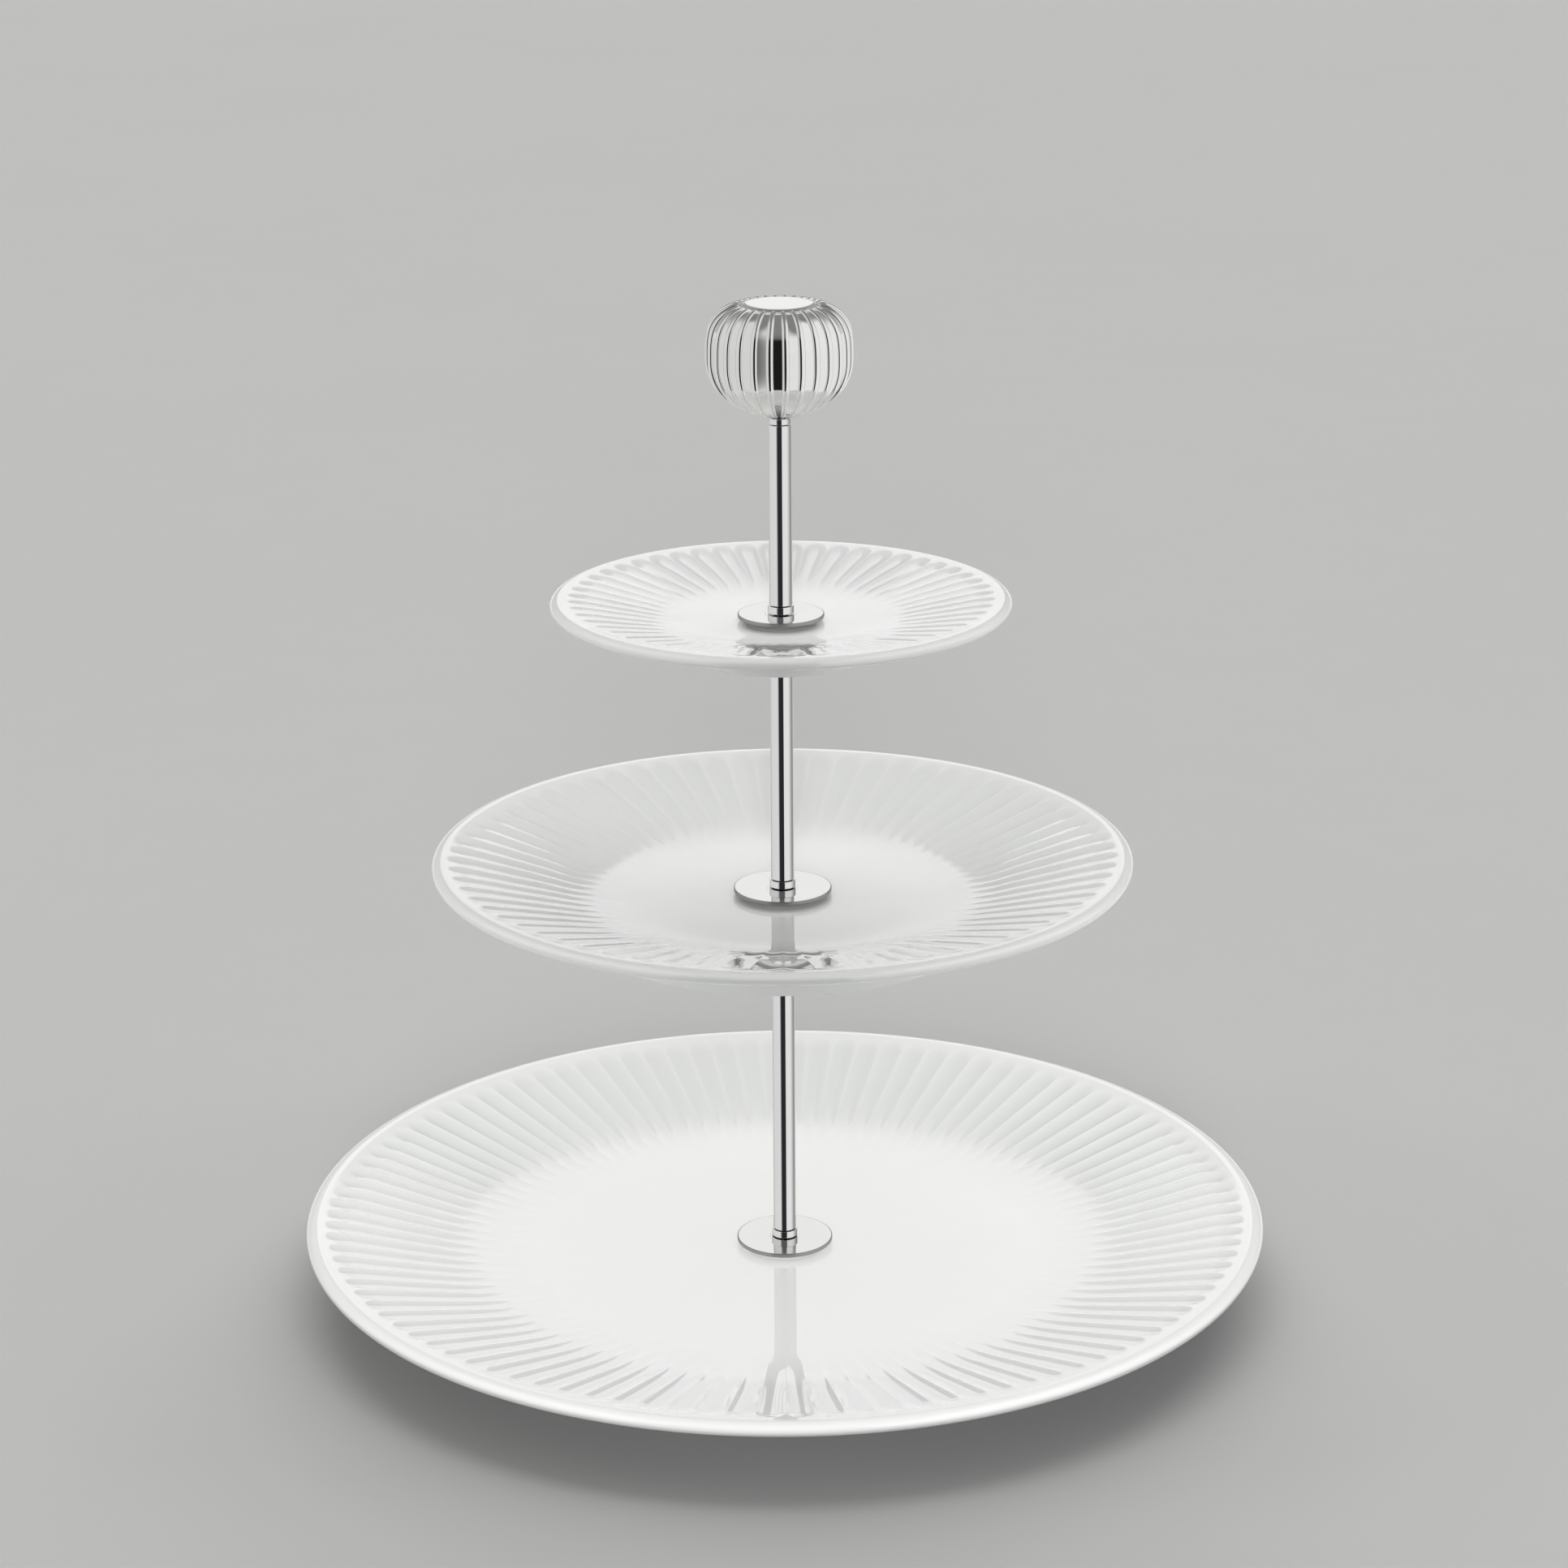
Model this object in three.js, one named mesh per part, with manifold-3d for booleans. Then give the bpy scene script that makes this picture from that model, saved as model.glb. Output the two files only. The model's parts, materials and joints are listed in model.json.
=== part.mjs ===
// A three-tier cake stand. Three fluted porcelain plates are held on a thin metal rod that
// screws together in three lengths, and a ribbed metal knob closes the top.
// Millimetres, +Z up, the table at Z = 0, the rod's centre line on the Z axis.

import * as THREE from 'three';
import { mergeVertices, toCreasedNormals } from 'three/addons/utils/BufferGeometryUtils.js';
import Module from 'manifold-3d';

const wasm = await Module();
wasm.setup();

// ---- Driving dimensions -------------------------------------------------------------------

// Left between any two pieces that touch on the real stand.
const clearance = 0.25;

// Each plate. Heights are above the plate's own foot.
const bottomPlate = {
  rimRadius: 150,
  height: 23,
  lipThickness: 5,
  floorHeight: 9.9,
  floorThickness: 4.6,
  wellRadius: 92,
  rimSweep: 1.4,
  footRadius: 92.5,
  footWidth: 4,
  fluteCount: 104,
  fluteDepth: 1.1,
  plainBand: 4.6,
  underFacets: 60,
};
const middlePlate = {
  rimRadius: 107.1,
  height: 22.9,
  lipThickness: 4.4,
  floorHeight: 9.1,
  floorThickness: 4.2,
  wellRadius: 54,
  rimSweep: 1.15,
  footRadius: 64.5,
  footWidth: 3.6,
  fluteCount: 68,
  fluteDepth: 1.1,
  plainBand: 3.2,
  underFacets: 52,
};
const topPlate = {
  rimRadius: 69.3,
  height: 17.9,
  lipThickness: 4,
  floorHeight: 10.3,
  floorThickness: 3.8,
  wellRadius: 29,
  rimSweep: 1,
  footRadius: 26.5,
  footWidth: 3.2,
  fluteCount: 52,
  fluteDepth: 0.9,
  plainBand: 3.6,
  underFacets: 44,
};

// Where a flute begins past the well's edge, as a share of the sloping rim's width, and how
// deep it is along its length: [share of the length, share of the depth].
const fluteRunIn = 0.1;
const flutePath = [[0, 0], [0.2, 0.65], [0.55, 1], [0.93, 1], [1, 0]];
const facetsPerFlute = 3;

// The flare on both sides of a foot ring, the bevel under it, and where the rim's underside
// has a ring of points, as a share of the way from foot to crest.
const footFlare = 1.5;
const footBevel = 0.6;
const underRingShare = 1 / 3;

// The hole through each plate, and the screw threads that pass through it.
const plateHoleRadius = 4.6;
const threadRadius = 2;
const threadPitch = 0.7;
const threadTurns = 10;
const studSeatDepth = 10;
const studChamfer = 0.4;

// The rod's three lengths.
const rodRadius = 3.5;
const rodChamfer = 0.3;
const lowerRodLength = 104.8;
const middleRodLength = 75.3;
const upperRodLength = 55;

// The polished disc and the collar on each plate, and the soft ring between disc and plate.
const discThickness = 1.5;
const discBevel = 0.25;
const largeDiscRadius = 15;
const smallDiscRadius = 13;
const collarRadius = 3.95;
const collarHeight = 2.2;
const gasketThickness = 0.4;
const gasketInset = 2.5;

// The soft grommet and the steel washer under each plate.
const grommetFlange = 0.8;
const washerThickness = 1.2;
const rodWasherRadius = 7;
const baseWasherRadius = 9;
const baseWasherThickness = 1;

// The screw that holds the bottom plate to the rod.
const screwHeadRadius = 6;
const screwHeadHeight = 2.2;
const screwHeadBevel = 0.5;
const slotWidth = 1.4;
const slotDepth = 1.1;

// The knob: a dome and a bowl that meet at its widest, with ribs from the flat to the neck.
const knobRadius = 22;
const domeHeight = 16.9;
const domePower = 3.2;
const bowlHeight = 17.9;
const bowlPower = 2.1;
const flatHeight = 15.6;
const flatRadius = 11.2;
const flatStep = 0.5;
const neckRadius = 3.5;
const ribCount = 28;
const ribHeight = 0.7;
const ribWidth = 2.2;
const ribCrownWidth = 1.1;
const ribTaperPower = 0.7;
const domeRingShares = [0, 0.17, 0.38, 0.65];
const bowlRingShares = [0, 0.22, 0.44, 0.63, 0.78, 0.9, 1];
const ferruleRadius = 3.4;
const ferruleHeight = 1.85;

// Facets round the plain turned pieces.
const hiddenFacets = 16;
const rodFacets = 20;
const discFacets = 32;

// ---- Sizes that follow ----------------------------------------------------------------------

const boreRadius = threadRadius + clearance;
const threadEngagement = threadPitch * threadTurns;
const studBoreDepth = studSeatDepth + clearance;
const threadBoreDepth = threadEngagement + clearance;
const fullTurn = 2 * Math.PI;
const quarterTurn = Math.PI / 2;

// ---- Solids ---------------------------------------------------------------------------------

// A geometry of positions only, with shared vertices merged and no triangle of zero width.
function welded(geometry) {
  geometry.deleteAttribute('normal');
  geometry.deleteAttribute('uv');
  const merged = mergeVertices(geometry, 1e-4);
  const corners = merged.index.array;
  const kept = [];
  for (let i = 0; i < corners.length; i += 3) {
    const [a, b, c] = [corners[i], corners[i + 1], corners[i + 2]];
    if (a !== b && b !== c && c !== a) kept.push(a, b, c);
  }
  merged.setIndex(kept);
  return merged;
}

// A solid turned about the Z axis. The profile lists [radius, height] counter-clockwise, and
// closes on itself or runs from the axis to the axis.
function turned(profile, facets) {
  const closed = profile[0][0] > 0 ? [...profile, profile[0]] : profile;
  const points = closed.map(([radius, height]) => new THREE.Vector2(radius, height));
  const geometry = new THREE.LatheGeometry(points, facets);
  geometry.rotateX(quarterTurn);
  return welded(geometry);
}

// A flat ring with square edges.
function flatRing(inner, outer, low, high, facets) {
  return turned([[inner, low], [outer, low], [outer, high], [inner, high]], facets);
}

// Angles spread evenly round a full turn.
function evenAngles(count) {
  return Array.from({ length: count }, (_, k) => (fullTurn * k) / count);
}

// A ring of points round the Z axis. pointAt gives the [radius, height] of point k.
function ringOf(angles, pointAt) {
  const points = angles.map((angle, k) => {
    const [radius, height] = pointAt(k);
    return new THREE.Vector3(radius * Math.cos(angle), radius * Math.sin(angle), height);
  });
  return { angles, points };
}

// A level round ring.
function plainRing(radius, height, count) {
  return ringOf(evenAngles(count), () => [radius, height]);
}

// The middle of the stretch from point k of a ring to the next point.
function middleAngle(angles, k) {
  const next = k + 1 < angles.length ? angles[k + 1] : angles[0] + fullTurn;
  return (angles[k] + next) / 2;
}

// A solid lofted through rings that may have different numbers of points. It closes on itself,
// or, where poles are given, ends at a point on the axis at the pole's height at each end.
function lofted(rings, poles = null) {
  const positions = [];
  const faces = [];
  const starts = rings.map((ring) => {
    const start = positions.length / 3;
    ring.points.forEach((point) => positions.push(point.x, point.y, point.z));
    return start;
  });
  const addPole = (height) => {
    positions.push(0, 0, height);
    return positions.length / 3 - 1;
  };
  const index = (ring, k) => starts[ring] + (k % rings[ring].points.length);

  const bands = poles ? rings.length - 1 : rings.length;
  for (let near = 0; near < bands; near++) {
    const far = (near + 1) % rings.length;
    const nearAngles = rings[near].angles;
    const farAngles = rings[far].angles;
    let i = 0;
    let j = 0;
    while (i < nearAngles.length || j < farAngles.length) {
      const nearNext = i < nearAngles.length ? middleAngle(nearAngles, i) : Infinity;
      const farNext = j < farAngles.length ? middleAngle(farAngles, j) : Infinity;
      if (nearNext <= farNext) {
        faces.push(index(near, i), index(far, j), index(near, i + 1));
        i++;
      } else {
        faces.push(index(near, i), index(far, j), index(far, j + 1));
        j++;
      }
    }
  }
  if (poles) {
    const last = rings.length - 1;
    const first = addPole(poles[0]);
    const end = addPole(poles[1]);
    rings[0].points.forEach((_, k) => faces.push(first, index(0, k), index(0, k + 1)));
    rings[last].points.forEach((_, k) => faces.push(index(last, k), end, index(last, k + 1)));
  }
  const geometry = new THREE.BufferGeometry();
  geometry.setAttribute('position', new THREE.Float32BufferAttribute(positions, 3));
  geometry.setIndex(faces);
  return geometry;
}

// A closed geometry as a solid that can be cut, and back.
function solidFrom(geometry) {
  const merged = welded(geometry);
  return new wasm.Manifold(new wasm.Mesh({
    numProp: 3,
    vertProperties: new Float32Array(merged.attributes.position.array),
    triVerts: new Uint32Array(merged.index.array),
  }));
}

function geometryFrom(solid) {
  const mesh = solid.getMesh();
  const geometry = new THREE.BufferGeometry();
  geometry.setAttribute('position', new THREE.Float32BufferAttribute(mesh.vertProperties, 3));
  geometry.setIndex([...mesh.triVerts]);
  return geometry;
}

// ---- Plates ---------------------------------------------------------------------------------

// The height of a plate's upper side at a radius: a level floor, then the rim sweeping up.
function upperHeight(plate, radius) {
  const crest = plate.rimRadius - plate.lipThickness / 2;
  const climb = Math.max(0, (radius - plate.wellRadius) / (crest - plate.wellRadius));
  return plate.floorHeight + (plate.height - plate.floorHeight) * climb ** plate.rimSweep;
}

// A ring across the flutes: every ridge stays on the surface, and the rest is gouged below it.
function flutedRing(plate, radius, depthShare) {
  const surface = upperHeight(plate, radius);
  const facets = depthShare > 0 ? facetsPerFlute : 1;
  const depth = plate.fluteDepth * depthShare * (radius / plate.rimRadius);
  return ringOf(evenAngles(plate.fluteCount * facets), (k) => {
    const across = (k % facets) / facets;
    return [radius, surface - depth * 4 * across * (1 - across)];
  });
}

// A whole plate with its foot ring, centre hole and rounded lip, standing on Z = 0.
function plateSolid(plate) {
  const half = plate.lipThickness / 2;
  const crest = plate.rimRadius - half;
  const fluteEnd = plate.rimRadius - plate.plainBand;
  const fluteStart = plate.wellRadius + fluteRunIn * (fluteEnd - plate.wellRadius);
  const floorUnder = plate.floorHeight - plate.floorThickness;
  const footOuter = plate.footRadius;
  const footInner = footOuter - plate.footWidth;
  const under = (radius) => [radius, upperHeight(plate, radius) - plate.lipThickness];
  const around = (list, count) => list.map(([r, z]) => plainRing(r, z, count));

  const upperSide = [
    plainRing(plateHoleRadius, plate.floorHeight, hiddenFacets),
    plainRing(plate.wellRadius, plate.floorHeight, plate.fluteCount),
    ...flutePath.map(([along, share]) =>
      flutedRing(plate, fluteStart + along * (fluteEnd - fluteStart), share)),
  ];
  const lipTurn = Math.SQRT1_2 * half;
  const lip = around([
    [crest, plate.height],
    [crest + lipTurn, plate.height - half + lipTurn],
    [plate.rimRadius, plate.height - half],
    [crest + lipTurn, plate.height - half - lipTurn],
  ], plate.fluteCount);
  const underSide = around([
    under(crest),
    under(footOuter + footFlare + (crest - footOuter) * underRingShare),
    under(footOuter + footFlare),
    [footOuter, footBevel],
    [footOuter - footBevel, 0],
    [footInner, 0],
    [footInner - footFlare, floorUnder],
  ], plate.underFacets);
  const hole = plainRing(plateHoleRadius, floorUnder, hiddenFacets);
  return lofted([...upperSide, ...lip, ...underSide, hole]);
}

// ---- Rod, studs and screw -------------------------------------------------------------------

// One length of rod standing on Z = 0, with a blind bore up from its foot and one down from
// its head.
function rodSolid(length) {
  return turned([
    [0, threadBoreDepth],
    [boreRadius, threadBoreDepth],
    [boreRadius, 0],
    [rodRadius - rodChamfer, 0],
    [rodRadius, rodChamfer],
    [rodRadius, length - rodChamfer],
    [rodRadius - rodChamfer, length],
    [boreRadius, length],
    [boreRadius, length - studBoreDepth],
    [0, length - studBoreDepth],
  ], rodFacets);
}

// A threaded stud with chamfered ends, standing on Z = 0.
function studSolid(length) {
  const tip = threadRadius - studChamfer;
  return turned([
    [0, 0],
    [tip, 0],
    [threadRadius, studChamfer],
    [threadRadius, length - studChamfer],
    [tip, length],
    [0, length],
  ], hiddenFacets);
}

// The screw from below: a bevelled slotted head standing on Z = 0 with its shank upwards.
function screwSolid(shankLength) {
  const top = screwHeadHeight + shankLength;
  const body = turned([
    [0, 0],
    [screwHeadRadius - screwHeadBevel, 0],
    [screwHeadRadius, screwHeadBevel],
    [screwHeadRadius, screwHeadHeight],
    [threadRadius, screwHeadHeight],
    [threadRadius, top - studChamfer],
    [threadRadius - studChamfer, top],
    [0, top],
  ], hiddenFacets);
  const slot = new THREE.BoxGeometry(3 * screwHeadRadius, slotWidth, 2 * slotDepth);
  return geometryFrom(solidFrom(body).subtract(solidFrom(slot)));
}

// ---- Discs, collars, gaskets and grommets -----------------------------------------------------

function discSolid(radius) {
  return turned([
    [boreRadius, 0],
    [radius, 0],
    [radius, discThickness - discBevel],
    [radius - discBevel, discThickness],
    [boreRadius, discThickness],
  ], discFacets);
}

// A soft grommet: a flange with a sleeve that lines the plate's hole.
function grommetSolid(flangeRadius, plate) {
  const sleeveRadius = plateHoleRadius - clearance;
  const sleeveTop = grommetFlange + plate.floorThickness;
  return turned([
    [boreRadius, 0],
    [flangeRadius, 0],
    [flangeRadius, grommetFlange],
    [sleeveRadius, grommetFlange],
    [sleeveRadius, sleeveTop],
    [boreRadius, sleeveTop],
  ], hiddenFacets);
}

// ---- Knob -------------------------------------------------------------------------------------

// The outline of the ribs at an angle down from the top, as [radius, height] from the widest
// part of the knob.
function knobOutline(angle) {
  const dome = angle <= quarterTurn;
  const power = 2 / (dome ? domePower : bowlPower);
  const side = Math.sin(angle) ** power;
  const rise = Math.abs(Math.cos(angle)) ** power;
  return [knobRadius * side, dome ? domeHeight * rise : -bowlHeight * rise];
}

// A ring across the ribs, with a panel facing the front: each rib has a foot and a crown on
// either side, and the panels between lie the rib's height below the outline.
function ribbedRing(angle) {
  const [radius, height] = knobOutline(angle);
  const step = 0.01;
  const [radiusBefore, heightBefore] = knobOutline(angle - step);
  const [radiusAfter, heightAfter] = knobOutline(angle + step);
  const across = radiusAfter - radiusBefore;
  const along = heightAfter - heightBefore;
  const inward = [along, -across].map((share) => share / Math.hypot(across, along));
  const rise = ribHeight * (radius / knobRadius) ** ribTaperPower;
  const foot = ribWidth / knobRadius / 2;
  const crown = ribCrownWidth / knobRadius / 2;
  const offsets = [-foot, -crown, crown, foot];
  const angles = [];
  for (let rib = 0; rib < ribCount; rib++) {
    offsets.forEach((offset) => angles.push((fullTurn * (rib + 0.5)) / ribCount + offset));
  }
  return ringOf(angles, (k) => {
    const onCrown = k % offsets.length === 1 || k % offsets.length === 2;
    const sink = onCrown ? 0 : rise;
    return [radius + inward[0] * sink, height + inward[1] * sink];
  });
}

// The knob standing on Z = 0, with a blind threaded bore up its neck.
function knobSolid() {
  const domeStart = Math.asin(((flatRadius + flatStep) / knobRadius) ** (domePower / 2));
  const bowlEnd = Math.PI - Math.asin(((neckRadius + flatStep) / knobRadius) ** (bowlPower / 2));
  const spread = (from, to, shares) => shares.map((share) => from + share * (to - from));
  const angles = [
    ...spread(domeStart, quarterTurn, domeRingShares),
    ...spread(quarterTurn, bowlEnd, bowlRingShares),
  ];
  const geometry = lofted([
    plainRing(flatRadius, flatHeight, ribCount),
    plainRing(flatRadius + flatStep / 2, flatHeight - flatStep, ribCount),
    ...angles.map(ribbedRing),
    plainRing(neckRadius, -bowlHeight, ribCount),
    plainRing(boreRadius, -bowlHeight, hiddenFacets),
    plainRing(boreRadius, -bowlHeight + threadBoreDepth, hiddenFacets),
  ], [flatHeight, -bowlHeight + threadBoreDepth]);
  geometry.translate(0, 0, bowlHeight);
  return geometry;
}

// ---- Materials ----------------------------------------------------------------------------------

const finish = {
  porcelain: { color: 0xf2f2ef, roughness: 0.12, metalness: 0 },
  polishedSteel: { color: 0xcfd0cf, roughness: 0.08, metalness: 1 },
  chromeKnob: { color: 0xd8d9d6, roughness: 0.05, metalness: 1 },
  threadSteel: { color: 0x9a9c9e, roughness: 0.35, metalness: 1 },
  siliconeRubber: { color: 0xe6e6e2, roughness: 0.6, metalness: 0 },
};

// ---- Assembly -----------------------------------------------------------------------------------

const stand = new THREE.Group();
stand.name = 'tiered_cake_stand';

// Adds a named piece at a height, with a material of its own.
function add(name, geometry, look, height) {
  const creased = toCreasedNormals(geometry, THREE.MathUtils.degToRad(30));
  const mesh = new THREE.Mesh(creased, new THREE.MeshStandardMaterial(look));
  mesh.name = name;
  mesh.position.z = height;
  stand.add(mesh);
}

// The gasket, disc and collar on a plate's floor. Returns the height where the rod begins.
function addClampOnPlate(tier, floor, discRadius) {
  const gasket = floor + clearance;
  const disc = gasket + gasketThickness + clearance;
  const collar = disc + discThickness + clearance;
  const ring = flatRing(boreRadius, discRadius - gasketInset, 0, gasketThickness, hiddenFacets);
  add(`${tier}_gasket`, ring, finish.siliconeRubber, gasket);
  add(`${tier}_disc`, discSolid(discRadius), finish.polishedSteel, disc);
  const collarRing = flatRing(boreRadius, collarRadius, 0, collarHeight, hiddenFacets);
  add(`${tier}_collar`, collarRing, finish.polishedSteel, collar);
  return collar + collarHeight + clearance;
}

// The washer and grommet between a rod's head and the plate it carries, then the plate.
// Returns the height of the plate's floor.
function addPlateOnRod(tier, rodHead, plate) {
  const washer = rodHead + clearance;
  const grommet = washer + washerThickness + clearance;
  const plateUnder = grommet + grommetFlange + clearance;
  const plateFoot = plateUnder - (plate.floorHeight - plate.floorThickness);
  const ring = flatRing(boreRadius, rodWasherRadius, 0, washerThickness, hiddenFacets);
  add(`${tier}_washer`, ring, finish.threadSteel, washer);
  add(`${tier}_grommet`, grommetSolid(rodWasherRadius, plate), finish.siliconeRubber, grommet);
  add(`${tier}_plate`, plateSolid(plate), finish.porcelain, plateFoot);
  return plateFoot + plate.floorHeight;
}

// A length of rod and the stud set in its head. studReach is how far the stud stands out.
function addRod(rodName, studName, foot, length, studReach) {
  add(rodName, rodSolid(length), finish.polishedSteel, foot);
  add(studName, studSolid(studSeatDepth + studReach), finish.threadSteel,
    foot + length - studSeatDepth);
}

// From a rod's head to the foot of the rod above it: washer, grommet, floor, gasket, disc,
// collar and the gaps between them.
function tierThickness(plate) {
  const below = 3 * clearance + washerThickness + grommetFlange;
  const above = 4 * clearance + gasketThickness + discThickness + collarHeight;
  return below + plate.floorThickness + above;
}

// Bottom tier: the plate stands on the table and the screw comes up through it.
add('bottom_plate', plateSolid(bottomPlate), finish.porcelain, 0);
const baseUnder = bottomPlate.floorHeight - bottomPlate.floorThickness;
const baseGrommet = baseUnder - clearance - grommetFlange;
const baseWasher = baseGrommet - clearance - baseWasherThickness;
const screwFoot = baseWasher - clearance - screwHeadHeight;
add('bottom_grommet', grommetSolid(baseWasherRadius, bottomPlate), finish.siliconeRubber,
  baseGrommet);
add('bottom_washer',
  flatRing(boreRadius, baseWasherRadius, 0, baseWasherThickness, hiddenFacets),
  finish.threadSteel, baseWasher);
const lowerRodFoot = addClampOnPlate('bottom', bottomPlate.floorHeight, largeDiscRadius);
const shankLength = lowerRodFoot + threadEngagement - (screwFoot + screwHeadHeight);
add('base_screw', screwSolid(shankLength), finish.threadSteel, screwFoot);
addRod('lower_rod', 'middle_stud', lowerRodFoot, lowerRodLength,
  tierThickness(middlePlate) + threadEngagement);

// Middle tier.
const middleFloor = addPlateOnRod('middle', lowerRodFoot + lowerRodLength, middlePlate);
const middleRodFoot = addClampOnPlate('middle', middleFloor, largeDiscRadius);
addRod('middle_rod', 'upper_stud', middleRodFoot, middleRodLength,
  tierThickness(topPlate) + threadEngagement);

// Top tier.
const topFloor = addPlateOnRod('top', middleRodFoot + middleRodLength, topPlate);
const upperRodFoot = addClampOnPlate('top', topFloor, smallDiscRadius);
addRod('upper_rod', 'knob_stud', upperRodFoot, upperRodLength,
  2 * clearance + ferruleHeight + threadEngagement);

// The knob and the ferrule under its neck.
const ferruleFoot = upperRodFoot + upperRodLength + clearance;
add('knob_ferrule', flatRing(boreRadius, ferruleRadius, 0, ferruleHeight, hiddenFacets),
  finish.polishedSteel, ferruleFoot);
add('knob', knobSolid(), finish.chromeKnob, ferruleFoot + ferruleHeight + clearance);

export default stand;
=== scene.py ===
"""Visible surfaces and studio for a three-tier porcelain cake stand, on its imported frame."""

import json
import logging
import math
from collections.abc import Callable, Sequence
from dataclasses import dataclass, field
from enum import Enum

import bpy
import numpy as np
from mathutils import Matrix, Vector

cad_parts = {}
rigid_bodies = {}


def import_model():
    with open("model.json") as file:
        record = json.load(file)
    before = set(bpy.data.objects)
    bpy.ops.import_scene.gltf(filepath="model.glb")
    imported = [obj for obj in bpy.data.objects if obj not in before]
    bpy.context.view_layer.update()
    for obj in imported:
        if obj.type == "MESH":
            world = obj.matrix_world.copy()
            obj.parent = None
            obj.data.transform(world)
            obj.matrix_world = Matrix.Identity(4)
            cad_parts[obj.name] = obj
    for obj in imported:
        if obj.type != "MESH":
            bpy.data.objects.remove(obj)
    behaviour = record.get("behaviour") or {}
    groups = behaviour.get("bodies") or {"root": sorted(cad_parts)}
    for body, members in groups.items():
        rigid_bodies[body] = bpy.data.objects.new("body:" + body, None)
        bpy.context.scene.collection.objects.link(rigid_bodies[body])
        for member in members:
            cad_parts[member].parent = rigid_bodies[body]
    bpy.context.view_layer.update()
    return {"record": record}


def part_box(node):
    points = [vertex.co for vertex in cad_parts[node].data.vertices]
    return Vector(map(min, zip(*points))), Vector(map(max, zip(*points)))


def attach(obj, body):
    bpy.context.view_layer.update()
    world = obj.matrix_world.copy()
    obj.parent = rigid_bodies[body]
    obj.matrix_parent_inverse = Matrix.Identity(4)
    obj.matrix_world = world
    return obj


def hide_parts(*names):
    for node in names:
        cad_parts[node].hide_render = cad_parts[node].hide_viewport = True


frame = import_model()

LOG = logging.getLogger("cake_stand")
MM = 0.001
TURN = 2 * math.pi

# Radii in millimetres of the hole through everything on the rod, and of the thread in it.
BORE = 2.25
THREAD_RADIUS = 2.0

# A corner is its radius, height and fillet in millimetres, and a span its first and last value.
Corner = tuple[float, float, float]
Colour = tuple[float, float, float]
Span = tuple[float, float]
Socket = bpy.types.NodeSocket


class Slot(Enum):
    """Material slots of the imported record."""

    PORCELAIN = "porcelain"
    POLISHED_STEEL = "polished_steel"
    KNOB_CHROME = "knob_chrome"
    THREAD_STEEL = "thread_steel"
    SILICONE = "silicone"


class Tier(Enum):
    """The three levels of the stand."""

    BOTTOM = "bottom"
    MIDDLE = "middle"
    TOP = "top"


class Ends(Enum):
    """How the first and last rings of a skin close."""

    LOOP = "the last ring joins the first"
    POLES = "each end closes on a point of the axis"


class Mark(Enum):
    """Values kept on a skin's points for its finish."""

    # Glaze pooling in the flutes, deepened as painted shade, and painted shade under each plate.
    POOL = "glaze_pool"
    BARE = "bare_clay"
    CUT = "cut_edge"


# ---- Meshes ----


def linked(name: str, data: bpy.types.ID) -> bpy.types.Object:
    """A new object of some data, linked to the scene."""
    made = bpy.data.objects.new(name, data)
    bpy.context.scene.collection.objects.link(made)
    return made


def meshed(name: str, points: Sequence, faces: Sequence) -> bpy.types.Object:
    """Makes a mesh object.

    Args:
        name: name of the object and its mesh
        points: places in metres
        faces: indices of each face's points

    Returns:
        The new object, linked to the scene.
    """
    mesh = bpy.data.meshes.new(name)
    mesh.from_pydata(points, [], faces)
    mesh.update()
    return linked(name, mesh)


def skin(
    name: str,
    rings: np.ndarray,
    ends: Ends,
    marks: dict[Mark, np.ndarray] | None = None,
    crease: float = 38.0,
) -> bpy.types.Object:
    """Makes a closed, smooth-shaded mesh object of a grid of points.

    Args:
        name: name of the object and its mesh
        rings: points in metres, shaped rings x columns x 3, with columns going round
        ends: how the first and last rings close
        marks: a value for each point of the grid, shaped rings x columns
        crease: angle in degrees from which an edge stays sharp

    Returns:
        The new object, linked to the scene.
    """
    count, columns = rings.shape[:2]
    points = rings.reshape(-1, 3)
    here = np.arange(columns)
    after = np.roll(here, -1)
    low = np.arange(count if ends is Ends.LOOP else count - 1)[:, None] * columns
    high = (low + columns) % (count * columns)
    corners = [low + here, low + after, high + after, high + here]
    quads = np.stack(corners, axis=-1).reshape(-1, 4)
    fans = np.zeros((0, 3), int)
    if ends is Ends.POLES:
        first, tip = len(points), (count - 1) * columns
        points = np.vstack([points, rings[0].mean(0), rings[-1].mean(0)])
        start = np.stack([after, here, np.full(columns, first)], axis=-1)
        end = np.stack([tip + here, tip + after, np.full(columns, first + 1)], axis=-1)
        fans = np.vstack([start, end])
    if enclosed(points, quads, fans) < 0:
        quads, fans = quads[:, ::-1], fans[:, ::-1]
    made = meshed(name, points.tolist(), quads.tolist() + fans.tolist())
    for mark, values in (marks or {}).items():
        layer = made.data.attributes.new(mark.value, "FLOAT", "POINT")
        flat = np.zeros(len(points), np.float32)
        flat[: values.size] = values.reshape(-1)
        layer.data.foreach_set("value", flat)
    made.data.shade_smooth()
    made.data.set_sharp_from_angle(angle=math.radians(crease))
    return made


def enclosed(points: np.ndarray, quads: np.ndarray, fans: np.ndarray) -> float:
    """Six times the signed volume inside the faces, which is positive if they face out.

    Args:
        points: corners of the faces
        quads: indices of each four-sided face
        fans: indices of each three-sided face

    Returns:
        The signed volume times six.
    """
    halves = np.vstack([quads[:, [0, 1, 2]], quads[:, [0, 2, 3]], fans])
    a, b, c = points[halves[:, 0]], points[halves[:, 1]], points[halves[:, 2]]
    return float(np.einsum("ij,ij->", a, np.cross(b, c)))


def evenly(columns: int) -> np.ndarray:
    """The angle of each column, evenly round the axis."""
    return np.arange(columns) * TURN / columns


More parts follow.
